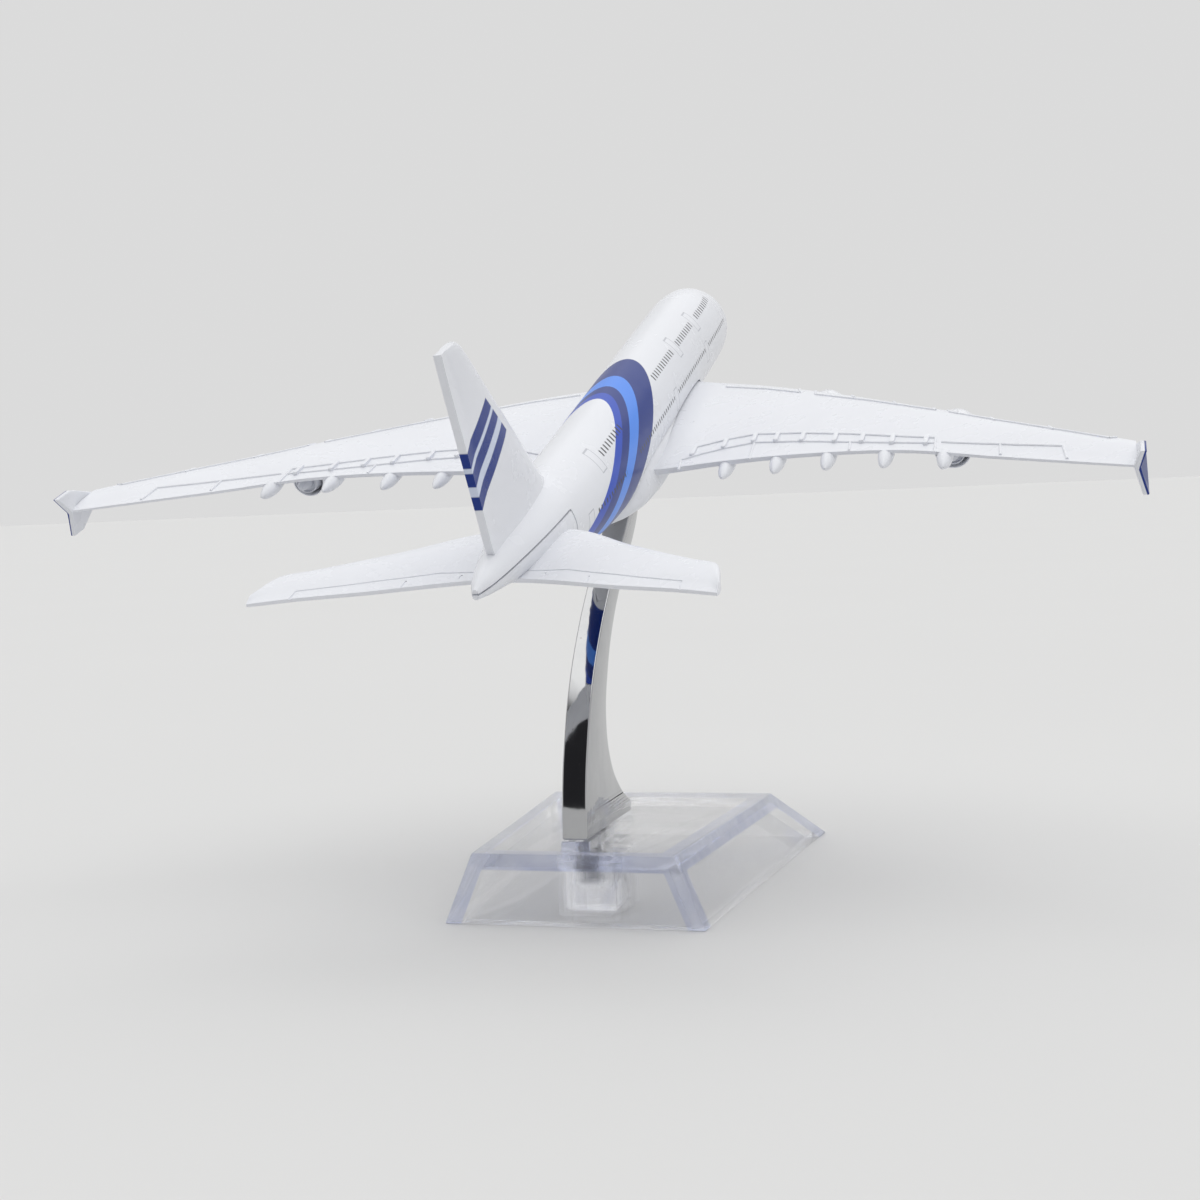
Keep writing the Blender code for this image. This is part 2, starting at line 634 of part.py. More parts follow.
def base_shell(parts, cutters, mat):
    obj = wedge("base_shell", 0.0, BASE_HEIGHT, 0.0, parts)
    hollow = wedge("base_hollow", BASE_WALL, BASE_HEIGHT - PLATE_THICK, -0.001, cutters)
    combine(obj, hollow, "DIFFERENCE")
    half_x, half_y = SOCKET_SIZE[0] / 2, SOCKET_SIZE[1] / 2
    block = box("socket_block", (-half_x, SOCKET_Y - half_y, SOCKET_FLOOR),
                (half_x, SOCKET_Y + half_y, BASE_HEIGHT - 0.0005), cutters)
    combine(obj, block, "UNION")
    pad_half = ARM_THICK / 2 + 0.0003
    pad = box("foot_pad", (-pad_half, ARM_FOOT_TOE, BASE_HEIGHT - 0.0005),
              (pad_half, ARM_FOOT_REAR, BASE_HEIGHT + PAD_HEIGHT), cutters)
    combine(obj, pad, "UNION")
    half_x, half_y = TENON_SIZE[0] / 2 + GAP, TENON_SIZE[1] / 2 + GAP
    pocket = box("tenon_pocket", (-half_x, SOCKET_Y - half_y, ARM_FOOT_Z - TENON_LENGTH - 2 * GAP),
                 (half_x, SOCKET_Y + half_y, BASE_HEIGHT + 0.01), cutters)
    combine(obj, pocket, "DIFFERENCE")
    finish(obj, mat)
    return obj


# ---------------------------------------------------------------- assembly
def main():
    clear_scene()
    parts = new_collection("desktop_airliner")
    cutters = new_collection("cutters")
    white = material("white_paint", PAINT_WHITE, 0.25, 0.0)
    steel = material("steel", (0.62, 0.62, 0.64), 0.30, 1.0)
    chrome = material("chrome", (0.80, 0.80, 0.82), 0.06, 1.0)
    clear = material("clear_plastic", (0.90, 0.92, 0.97), 0.05, 0.0, 0.35)
    paints = {"cowl": white,
              "fan": material("fan_grey", (0.25, 0.26, 0.28), 0.40, 0.3),
              "core": material("nozzle_grey", (0.45, 0.45, 0.47), 0.35, 0.6)}

    flying = [fuselage(parts, cutters, white), wing_casting(parts, cutters, white),
              tailplane_casting(parts, cutters, white), swivel_pin(parts, steel)]
    flying += fasteners(parts, steel)
    for place, lateral in ENGINES:
        for side in (-1, 1):
            flying += engine(place, side, lateral, parts, cutters, paints)
    tools = list(cutters.objects)

    model_frame = bpy.data.objects.new("model_frame", None)
    model_frame.location = (0, CENTRE_Y, 0)
    seat = bpy.data.objects.new("swivel_seat", None)
    seat.location = (0, *SEAT)
    seat.rotation_euler = (-NOSE_UP, 0, 0)
    seat.parent = model_frame
    for empty in (model_frame, seat):
        parts.objects.link(empty)
    for obj in flying + tools:
        obj.parent = seat

    stand_tools = list(cutters.objects)
    stand = [stand_arm(parts, cutters, chrome), base_shell(parts, cutters, clear)]
    stand += [obj for obj in cutters.objects if obj not in stand_tools]
    for obj in stand:
        obj.parent = model_frame
    bpy.context.view_layer.update()


main()
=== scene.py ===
"""Desktop airliner: the visible surfaces and finishes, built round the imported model.

The aircraft is described as its drawing has it, in full-size metres: lateral (port is positive),
station behind the nose and height above the fuselage axis. AIR_SCALE brings that down to the model.
"""
import json
import math

import bmesh
import bpy
import numpy as np
from mathutils import Matrix, Vector


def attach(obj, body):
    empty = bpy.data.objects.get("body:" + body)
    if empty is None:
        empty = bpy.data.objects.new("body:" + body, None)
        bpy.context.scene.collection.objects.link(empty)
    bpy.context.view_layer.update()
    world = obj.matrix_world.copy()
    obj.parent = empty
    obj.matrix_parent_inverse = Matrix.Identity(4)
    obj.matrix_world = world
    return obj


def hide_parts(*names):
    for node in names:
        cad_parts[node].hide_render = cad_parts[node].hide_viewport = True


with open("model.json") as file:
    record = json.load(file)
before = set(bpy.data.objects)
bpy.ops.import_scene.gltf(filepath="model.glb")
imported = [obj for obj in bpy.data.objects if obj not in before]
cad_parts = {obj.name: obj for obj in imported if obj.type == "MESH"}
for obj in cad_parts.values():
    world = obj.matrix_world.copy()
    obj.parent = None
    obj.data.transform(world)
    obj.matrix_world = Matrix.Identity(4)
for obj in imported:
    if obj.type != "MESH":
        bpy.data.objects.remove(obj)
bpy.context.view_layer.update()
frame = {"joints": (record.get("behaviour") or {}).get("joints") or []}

# --- where the aircraft sits
AIR_SCALE = 0.0022              # model metres for one metre of the full-size aircraft
PEG_STATION = 37.0              # where the swivel axis meets the belly
BELLY_HEIGHT = -5.0
GAP = 0.0003                    # clearance between separate castings, in model metres
GAP_FULL = GAP / AIR_SCALE
TURN = next(joint for joint in frame["joints"] if joint["name"] == "aircraft_turn")
SEAT = Vector(TURN["pos_m"])
UP = Vector(TURN["axis"]).normalized()
AFT = UP.cross(Vector((1, 0, 0)))
PITCH = math.atan2(UP.y, UP.z)


def aircraft(lateral, station, height):
    """World position of a point of the aircraft."""
    return (SEAT + Vector((lateral * AIR_SCALE, 0, 0)) + AFT * ((station - PEG_STATION) * AIR_SCALE)
            + UP * ((height - BELLY_HEIGHT) * AIR_SCALE))


def to_world(points):
    """The same for an array whose last axis holds lateral, station and height."""
    points = np.asarray(points, float) - (0.0, PEG_STATION, BELLY_HEIGHT)
    axes = np.array([(1.0, 0.0, 0.0), tuple(AFT), tuple(UP)])
    return points @ axes * AIR_SCALE + np.array(SEAT)


# --- lines of the aircraft
# station, top, bottom, half width of the fuselage
FUSELAGE = (
    (0.0, -1.30, -1.50, 0.10), (0.35, -0.55, -2.20, 0.80), (1.3, 0.45, -2.95, 1.60),
    (3.0, 1.60, -3.60, 2.40), (5.5, 2.90, -4.00, 3.12), (8.5, 3.80, -4.18, 3.48),
    (12.0, 4.15, -4.20, 3.57), (20.0, 4.20, -4.20, 3.57), (44.0, 4.20, -4.20, 3.57),
    (50.0, 4.20, -3.70, 3.50), (56.0, 4.10, -2.50, 3.14), (62.0, 3.85, -0.90, 2.45),
    (68.0, 3.42, 0.72, 1.45), (71.3, 3.05, 1.50, 0.75), (72.73, 2.62, 1.90, 0.25))
# the same for the belly fairing that the wing casting carries
FAIRING = (
    (16.2, -3.50, -4.34, 1.30), (17.6, -2.30, -4.66, 2.60), (19.4, -1.20, -4.90, 3.60),
    (22.0, -0.60, -5.00, 4.02), (30.0, -0.50, -5.00, 4.12), (38.0, -0.50, -5.00, 4.06),
    (42.0, -0.90, -4.86, 3.72), (45.0, -2.00, -4.50, 2.90), (47.6, -3.10, -4.06, 1.30))
FAIRING_POWER = 2.6
WING_TIP = 40.12
# lateral, leading edge, trailing edge, height, nose-up twist in degrees, thickness of the wing
WING = (
    (0.0, 18.2, 40.6, -2.15, 1.4, 1.90), (3.9, 20.6, 40.8, -1.95, 1.4, 1.80),
    (9.0, 23.6, 41.1, -1.45, 1.2, 1.50), (15.5, 28.2, 42.2, -0.80, 0.8, 1.20),
    (23.3, 34.5, 44.4, -0.08, 0.4, 0.98), (30.8, 41.0, 48.5, 0.62, 0.2, 0.82),
    (36.2, 46.0, 51.9, 1.30, 0.0, 0.70), (WING_TIP, 49.7, 54.2, 1.75, 0.0, 0.62))
TAILPLANE = (
    (0.0, 59.6, 67.6, 0.85, 0.0, 1.15), (2.0, 59.8, 68.0, 0.95, 0.0, 1.15),
    (8.5, 64.6, 70.6, 1.55, 0.0, 1.05), (13.0, 67.9, 72.25, 1.96, 0.0, 0.98),
    (14.9, 69.2, 73.1, 2.14, 0.0, 0.92), (15.65, 72.2, 73.4, 2.20, 0.0, 0.80))
# height, leading edge, trailing edge, thickness of the fin; the lowest rows flare into the fuselage
FIN = (
    (2.6, 54.6, 68.8, 2.60), (3.5, 56.2, 69.0, 1.75), (4.2, 57.2, 69.2, 1.36), (6.0, 58.8, 69.5, 1.22),
    (9.0, 61.2, 70.1, 1.10), (13.5, 65.0, 71.0, 0.95), (16.8, 67.8, 71.6, 0.85), (17.45, 68.5, 71.7, 0.79),
    (17.7, 69.0, 71.75, 0.60))
FIN_TE_THICK = 0.55
# chord fraction and half-thickness fraction of the blunt-edged sections
SECTION = ((0.0, 0.0), (0.02, 0.42), (0.10, 0.80), (0.30, 1.0), (0.60, 0.80), (0.85, 0.45), (1.0, 0.30))
UNDER_SHARE = 0.7               # the underside's depth as a share of the upper side's
SEAM_HEIGHT = 2.2
TAIL_FRONT = 59.2
# station and height round the wingtip fence
FENCE = ((49.6, 1.50), (52.6, 2.95), (53.3, 3.20), (55.2, 3.20), (54.4, 1.75),
         (54.3, 1.10), (54.0, -0.40), (52.6, -0.40), (50.6, 1.05))
FENCE_THICK = 0.42
FENCE_OUT = 0.02
FENCE_KINK = 1.6
FENCE_LEAN = 0.25
FLAP_TRACKS = (9.6, 13.8, 17.9, 22.4, 26.9)
TRACK_RADIUS = 0.60
TRACK_LENGTH = 2.6              # from the pod's middle to each end
OUTER_TRACK_LENGTH = 2.2
OUTER_TRACKS_FROM = 25.0
TRACK_AHEAD = 0.7               # of the trailing edge
TRACK_DROP = 0.30
ENGINES = (("inner", 15.4), ("outer", 26.9))
NACELLE_DROP = 2.40
NACELLE_AHEAD = 3.8
NACELLE_LENGTH = 5.6
PYLON_HALF = 0.25
PYLON_ROOT = 1.36
SCREW_STATIONS = (24.5, 43.0)
TAIL_SCREW_STATION = 62.5
SCREW_HEAD_R = 0.0016
PIN_R = 0.0011


def smooth_rows(table, count, dense=1.0):
    """Rows read from a smooth curve through a table's rows, count of them, closer together at the start
    where dense is above 1."""
    rows = np.array(table, float)
    steps = np.linalg.norm(np.diff(rows[:, :3], axis=0), axis=1)
    at = np.concatenate(([0.0], np.cumsum(steps)))
    slope = np.diff(rows, axis=0) / steps[:, None]
    tangent = np.vstack((slope[:1], np.zeros_like(rows[1:-1]), slope[-1:]))
    for i in range(1, len(rows) - 1):
        low, high = slope[i - 1], slope[i]
        same = low * high > 0
        with np.errstate(divide="ignore", invalid="ignore"):
            mean = 2 * low * high / (low + high)
        tangent[i] = np.where(same, mean, 0.0)
    where = at[-1] * np.linspace(0, 1, count) ** dense
    k = np.clip(np.searchsorted(at, where, side="right") - 1, 0, len(rows) - 2)
    span = (at[k + 1] - at[k])[:, None]
    t = ((where - at[k])[:, None]) / span
    return ((2 * t**3 - 3 * t**2 + 1) * rows[k] + (t**3 - 2 * t**2 + t) * span * tangent[k]
            + (3 * t**2 - 2 * t**3) * rows[k + 1] + (t**3 - t**2) * span * tangent[k + 1])


def row_at(table, value):
    """One row of a table at a value of its first column, straight between rows."""
    rows = np.array(table, float)
    return np.array([np.interp(value, rows[:, 0], rows[:, i]) for i in range(rows.shape[1])])


FINE_WING = smooth_rows(WING, 90)
FINE_TAILPLANE = smooth_rows(TAILPLANE, 60)
# the section is smoothed over the root of its chord fraction, which keeps the leading edge round
ROOTED_SECTION = [(math.sqrt(c), t, 0.0) for c, t in SECTION]
FINE_SECTION = np.array([(c * c, t) for c, t in smooth_rows(ROOTED_SECTION, 24)[:, :2]])


# --- mesh tools
def in_scene(name, data):
    """A new object in the scene, holding a mesh, curve, light or camera."""
    obj = bpy.data.objects.new(name, data)
    bpy.context.scene.collection.objects.link(obj)
    return obj


def face_outward(mesh, merge=0.0):
    """Merges vertices closer than merge, and turns every face's normal outward."""
    bm = bmesh.new()
    bm.from_mesh(mesh)
    if merge:
        bmesh.ops.remove_doubles(bm, verts=bm.verts, dist=merge)
    bmesh.ops.recalc_face_normals(bm, faces=bm.faces)
    bm.to_mesh(mesh)
    bm.free()


def mesh_object(name, vertices, faces):
    mesh = bpy.data.meshes.new(name)
    mesh.from_pydata([tuple(v) for v in vertices], [], [list(face) for face in faces])
    face_outward(mesh, 1e-7)
    return in_scene(name, mesh)


def skin(name, rings):
    """A closed body through rings of world points, each closed and of the same length."""
    rings = np.asarray(rings, float)
    rows, count = rings.shape[:2]
    faces = []
    for row in range(rows - 1):
        for i in range(count):
            j = (i + 1) % count
            faces.append((row * count + i, row * count + j, (row + 1) * count + j, (row + 1) * count + i))
    faces.append(range(count))
    faces.append(range((rows - 1) * count, rows * count))
    return mesh_object(name, rings.reshape(-1, 3), faces)


def block(name, low, high, place=None):
    """A box between two corners, given in metres or, with place, in place's own coordinates."""
    spans = list(zip(low, high))
    corners = [Vector((x, y, z)) for x in spans[0] for y in spans[1] for z in spans[2]]
    if place:
        corners = [place(*corner) for corner in corners]
    faces = ((0, 1, 3, 2), (4, 6, 7, 5), (0, 4, 5, 1), (2, 3, 7, 6), (0, 2, 6, 4), (1, 5, 7, 3))
    return mesh_object(name, corners, faces)


def turned(name, profile, origin, axis, steps=48):
    """A (radius, distance) profile turned about an axis. It closes on itself, or on the axis."""
    axis = Vector(axis).normalized()
    across = axis.orthogonal().normalized()
    other = axis.cross(across)
    vertices, faces = [], []
    count = len(profile)
    for step in range(steps):
        angle = 2 * math.pi * step / steps
        out = across * math.cos(angle) + other * math.sin(angle)
        vertices += [Vector(origin) + out * radius + axis * along for radius, along in profile]
    closed = profile[0][0] > 0
    for step in range(steps):
        after = (step + 1) % steps
        for i in range(count if closed else count - 1):
            j = (i + 1) % count
            faces.append((step * count + i, step * count + j, after * count + j, after * count + i))
    obj = mesh_object(name, vertices, faces)
    bm = bmesh.new()
    bm.from_mesh(obj.data)
    bmesh.ops.dissolve_degenerate(bm, edges=bm.edges, dist=1e-8)
    bmesh.ops.recalc_face_normals(bm, faces=bm.faces)
    bm.to_mesh(obj.data)
    bm.free()
    return obj


def evaluated_mesh(obj):
    bpy.context.view_layer.update()
    return bpy.data.meshes.new_from_object(obj.evaluated_get(bpy.context.evaluated_depsgraph_get()))


def settle(obj):
    """Turns an object's modifiers into its plain mesh."""
    mesh = evaluated_mesh(obj)
    obj.modifiers.clear()
    obj.data = mesh
    return obj


def carve(obj, tools, operation="DIFFERENCE"):
    """Applies exact Booleans with the tools, and removes them."""
    for tool in tools:
        cut = obj.modifiers.new("cut", "BOOLEAN")
        cut.operation = operation
        cut.solver = "EXACT"
        cut.object = tool
    settle(obj)
    for tool in tools:
        bpy.data.objects.remove(tool)
    return obj


def ease(obj, width, segments=2, angle=40.0):
    """Rounds the sharp edges."""
    bevel = obj.modifiers.new("eased", "BEVEL")
    bevel.width = width
    bevel.segments = segments
    bevel.limit_method = "ANGLE"
    bevel.angle_limit = math.radians(angle)
    bevel.use_clamp_overlap = True
    return settle(obj)


def joined(name, objects):
    """One object from several separate bodies."""
    bm = bmesh.new()
    for obj in objects:
        bm.from_mesh(obj.data)
    mesh = bpy.data.meshes.new(name)
    bm.to_mesh(mesh)
    bm.free()
    for obj in objects:
        bpy.data.objects.remove(obj)
    return in_scene(name, mesh)


def put(obj, body, finish, nodes=(), angle=32.0):
    """Finishes a piece: smooth shading, its material, body, slot and the nodes it stands for."""
    obj.data.materials.clear()
    obj.data.materials.append(finish)
    obj.data.shade_smooth()
    obj.data.set_sharp_from_angle(angle=math.radians(angle))
    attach(obj, body)
    if nodes:
        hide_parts(*nodes)
    return obj


# --- shader tools
class Socket:
    """Wraps a shader socket, so that arithmetic on it adds Math nodes."""

    def __init__(self, graph, socket):
        self.graph = graph
        self.socket = socket

    def maths(self, operation, *others):
        values = {i: other for i, other in enumerate((self, *others))}
        return self.graph.node("ShaderNodeMath", {"operation": operation}, values)[0]

    def __add__(self, other):
        return self.maths("ADD", other)

    def __sub__(self, other):
        return self.maths("SUBTRACT", other)

    def __mul__(self, other):
        return self.maths("MULTIPLY", other)

    def __truediv__(self, other):
        return self.maths("DIVIDE", other)

    def __rsub__(self, other):
        return self.graph.value(other).maths("SUBTRACT", self)

    def above(self, edge, soft=0.02):
        """1 where this is above edge, over a soft step."""
        return self.graph.node("ShaderNodeMapRange", {"clamp": True}, {
            "Value": self, "From Min": edge - soft, "From Max": edge + soft})[0]

    def below(self, edge, soft=0.02):
        return 1.0 - self.above(edge, soft)

    def within(self, low, high, soft=0.02):
        return self.above(low, soft) * self.below(high, soft)

    def either(self, other):
        return self.maths("MAXIMUM", other)

    def size(self):
        return self.maths("ABSOLUTE")


class Graph:
    """Builds one material's node tree."""

    def __init__(self, name):
        self.material = bpy.data.materials.new(name)
        self.material.use_nodes = True
        self.tree = self.material.node_tree
        self.shader = self.tree.nodes["Principled BSDF"]

    def node(self, kind, settings=None, inputs=None):
        """Adds a node: settings first, then values or links for its inputs. Gives its outputs."""
        made = self.tree.nodes.new(kind)
        for key, value in (settings or {}).items():
            if key == "stops":
                ramp = made.color_ramp
                while len(ramp.elements) < len(value):
                    ramp.elements.new(0.5)
                for element, (position, colour) in zip(ramp.elements, value):
                    element.position = position
                    element.color = (*colour, 1.0)
            else:
                setattr(made, key, value)
        for key, value in (inputs or {}).items():
            self.feed(made.inputs[key], value)
        return [Socket(self, output) for output in made.outputs]

    def feed(self, target, value):
        if isinstance(value, Socket):
            self.tree.links.new(value.socket, target)
        elif hasattr(target.default_value, "__len__"):
            length = len(target.default_value)
            target.default_value = (*value, 1.0)[:length]
        else:
            target.default_value = value

    def value(self, number):
        return self.node("ShaderNodeMath", {"operation": "ADD"}, {0: number, 1: 0.0})[0]

    def position(self, location=(0, 0, 0), rotation=(0, 0, 0), scale=(1, 1, 1)):
        """Object coordinates, moved into a frame of the piece's own."""
        place = self.node("ShaderNodeTexCoord")[3]
        return self.node("ShaderNodeMapping", {"vector_type": "TEXTURE"}, {
            "Vector": place, "Location": location, "Rotation": rotation, "Scale": scale})[0]

    def split(self, vector):
        return self.node("ShaderNodeSeparateXYZ", None, {0: vector})

    def noise(self, vector, scale, detail=3.0, roughness=0.5):
        """A fractal noise of 0 to 1."""
        return self.node("ShaderNodeTexNoise", None, {
            "Vector": vector, "Scale": scale, "Detail": detail, "Roughness": roughness})[0]

    def mix(self, factor, low, high):
        """A colour between two colours."""
        made = self.tree.nodes.new("ShaderNodeMix")
        made.data_type = "RGBA"
        for key, value in ((0, factor), (6, low), (7, high)):
            self.feed(made.inputs[key], value)
        return Socket(self, made.outputs[2])

    def bump(self, height, distance, strength=1.0):
        """A normal from a height."""
        return self.node("ShaderNodeBump", None, {
            "Height": height, "Distance": distance, "Strength": strength})[0]

    def finish(self, **settings):
        """Sets the shader's sockets, given with underscores for spaces."""
        for key, value in settings.items():
            self.feed(self.shader.inputs[key.replace("_", " ")], value)
        return self.material


class WorldGraph(Graph):
    """Builds the surroundings' node tree."""

    def __init__(self, world):
        self.tree = world.node_tree
        self.shader = self.tree.nodes["Background"]


def in_aircraft(graph):
    """The aircraft's own coordinates, in full-size metres: the vector, lateral, station, height."""
    origin = aircraft(0.0, 0.0, 0.0)
    vector = graph.position(location=origin, rotation=(-PITCH, 0, 0), scale=(AIR_SCALE,) * 3)
    return (vector, *graph.split(vector)[:3])


# --- finishes
WHITE = (0.80, 0.815, 0.86)
NAVY = (0.004, 0.028, 0.220)
SKY = (0.075, 0.260, 0.860)
ROYAL = (0.016, 0.070, 0.500)
PEEL_DEPTH = 0.00001
PEEL_STRENGTH = 0.05
BAND_TOP = 4.2
# each line's station at that height, and how far aft it slants for a metre down
BAND_FRONT, BAND_REAR = (31.0, 2.2), (41.0, 3.6)
STRIPES = (((35.4, 2.5), SKY), ((38.0, 2.7), NAVY), ((39.6, 3.1), ROYAL))



def white_enamel(graph, vector):
    """Sprayed white: its colour with slight shade changes, its orange peel as a normal, and a noise of
    handling marks for the roughness."""
    cloud = graph.noise(vector, 0.12, 3.0)
    shade = graph.mix(cloud.above(0.5, 0.25), tuple(c * 0.965 for c in WHITE), WHITE)
    peel = graph.bump(graph.noise(vector, 0.9, 1.0), PEEL_DEPTH, PEEL_STRENGTH)
    return shade, peel, graph.noise(vector, 0.35, 4.0, 0.6)


def gloss(graph, shade, peel, roughness):
    """The enamel's shader, with its colour, normal and roughness."""
    return graph.finish(Base_Color=shade, Roughness=roughness, Specular_IOR_Level=0.30, IOR=1.48, Normal=peel)


def behind(station, height, line, soft=0.04):
    """1 behind a straight line that starts at a station on the fuselage's top and slants aft."""
    start, slope = line
    return (station + height * slope).above(start + BAND_TOP * slope, soft)


def window_row(graph, lateral, station, height, deck, spans, pitch, size):
    """Printed window dashes along a deck, on both sides."""
    phase = (station / pitch).maths("FRACT")
    dash = phase.within(0.5 - size[0] / pitch / 2, 0.5 + size[0] / pitch / 2, 0.03)
    tall = height.within(deck - size[1] / 2, deck + size[1] / 2, 0.04)
    run = None
    for low, high in spans:
        part = station.within(low, high, 0.01)
        run = part if run is None else run.either(part)
    return dash * tall * run * lateral.size().above(1.2)


def door_frame(graph, lateral, station, height, middle, low, high, half=0.55, line=0.045):
    """A printed door outline: a rectangle less a smaller one."""
    def panel(inset):
        return (station - middle).size().below(half - inset, 0.02) * height.within(low + inset, high - inset)

    return (panel(0.0) - panel(2 * line)) * lateral.size().above(1.0)


def fuselage_finish():
    """White, with a plain slanted band of straight blue stripes, windows, doors and fin bars."""
    graph = Graph("fuselage_enamel")
    vector, lateral, station, height = in_aircraft(graph)
    banded = behind(station, height, BAND_FRONT) * (1.0 - behind(station, height, BAND_REAR))
    band = NAVY
    for line, colour in STRIPES:
        band = graph.mix(behind(station, height, line), band, colour)
    shade, peel, wiped = white_enamel(graph, vector)
    shade = graph.mix(banded, shade, band)
    upper_deck = window_row(graph, lateral, station, height, 2.92, ((9.0, 15.6), (17.6, 23.4), (25.2, 33.0),
                                                                   (44.2, 50.0)), 0.62, (0.22, 0.46))
    main_deck = window_row(graph, lateral, station, height, 0.42, ((7.8, 16.2), (17.4, 29.0), (30.6, 43.4),
                                                                  (47.5, 55.0)), 0.62, (0.24, 0.34))
    ink = upper_deck.either(main_deck)
    outlines = None
    for middle, low, high in ((6.6, -0.9, 1.0), (16.8, -0.9, 1.0), (29.8, -0.9, 1.0), (45.0, -0.9, 1.0),
                              (56.4, -0.7, 1.0), (16.6, 2.05, 3.7), (24.2, 2.05, 3.7), (51.3, 2.05, 3.7)):
        frame_line = door_frame(graph, lateral, station, height, middle, low, high)
        outlines = frame_line if outlines is None else outlines.either(frame_line)
    shade = graph.mix(outlines * (1.0 - banded) * 0.55, shade, (0.30, 0.31, 0.36))
    shade = graph.mix(ink, shade, (0.035, 0.035, 0.045))
    cockpit = (height - (station - 3.2) * 0.62).within(0.95, 1.5, 0.04) * station.within(2.2, 4.4, 0.04)
    posts = (lateral.size() / 0.62).maths("FRACT").above(0.10, 0.03)
    shade = graph.mix(cockpit * posts, shade, (0.02, 0.022, 0.03))
    printed = banded.either(ink)
    blade = height.above(5.2, 0.03)
    across = height + (station - 66.0) * 0.52
    field = across.within(8.6, 13.2, 0.05) * (station - (height - 4.2) * 0.86).above(58.6, 0.05)
    inner_band = across.within(9.7, 10.5, 0.05).either(across.within(11.6, 12.0, 0.05))
    fin_blue = graph.mix(inner_band, NAVY, (0.62, 0.68, 0.82))
    shade = graph.mix(blade * field, shade, fin_blue)
    return gloss(graph, shade, peel, wiped * 0.14 + 0.19 + printed * 0.05)


def wing_finish():
    """White, with the outer faces of the fences navy."""
    graph = Graph("wing_enamel")
    vector, lateral, station, height = in_aircraft(graph)
    plate = WING_TIP + FENCE_OUT + 0.06
    outer = lateral.size() - (height - FENCE_KINK).size() * FENCE_LEAN
    navy = outer.above(plate, 0.02) * station.above(49.0)
    shade, peel, wiped = white_enamel(graph, vector)
    return gloss(graph, graph.mix(navy, shade, NAVY), peel, wiped * 0.14 + 0.21)


def tail_finish():
    """Plain white."""
    graph = Graph("tail_enamel")
    shade, peel, wiped = white_enamel(graph, in_aircraft(graph)[0])
    return gloss(graph, shade, peel, wiped * 0.14 + 0.20)


def cowl_finish(place, lateral_at):
    """White cowl with a polished lip and a dark joint line round it."""
    graph = Graph("cowl_enamel_" + place)
    vector, _, station, _ = in_aircraft(graph)
    lip_station, _ = engine_centre(lateral_at)
    lip = (station - lip_station).below(0.32, 0.03)
    shade, peel, wiped = white_enamel(graph, vector)
    shade = graph.mix(lip, shade, (0.60, 0.61, 0.64))
    seam = (station - (lip_station + 3.3)).size().below(0.035, 0.015)
    shade = graph.mix(seam * 0.6, shade, (0.25, 0.26, 0.30))
    return graph.finish(Base_Color=shade, Roughness=wiped * 0.12 + 0.22 - lip * 0.08, Metallic=lip * 0.9,
                        Coat_Weight=0.3, Coat_Roughness=0.10, Normal=peel)


def metal_finish(name, colour, roughness, metallic, grain, streak=(1, 1, 1)):
    """Turned or moulded metal with fine grain and dull patches."""
    graph = Graph(name)
    vector = graph.position(scale=tuple(s * 0.001 for s in streak))
    lines = graph.noise(vector, grain, 4.0, 0.6)
    patches = graph.noise(vector, grain * 0.15, 3.0)
    shade = graph.mix(patches.above(0.5, 0.3) * 0.5, colour, tuple(c * 0.72 for c in colour))
    return graph.finish(Base_Color=shade, Roughness=lines * 0.16 + roughness + patches * 0.08,
                        Metallic=metallic, Normal=graph.bump(lines, 0.00003, 0.4))


def chrome_finish():
    """Bright plate over a cast arm: long faint waves, a light haze in patches and a few pits."""
    graph = Graph("bright_chrome")
    vector = graph.position(scale=(0.001, 0.001, 0.001))
    waves = graph.noise(graph.position(scale=(0.004, 0.004, 0.016)), 1.0, 2.0)
    pits = graph.noise(vector, 2.4, 2.0).above(0.72, 0.03)
    haze = graph.noise(vector, 0.25, 4.0, 0.65)
    shade = graph.mix(haze.above(0.5, 0.3), (0.44, 0.444, 0.455), (0.50, 0.502, 0.51))
    shade = graph.mix(pits * 0.5, shade, (0.30, 0.25, 0.20))
    return graph.finish(Base_Color=shade, Metallic=1.0, Roughness=haze * 0.05 + 0.035 + pits * 0.15,
                        Normal=graph.bump(waves, 0.0002, 0.35))


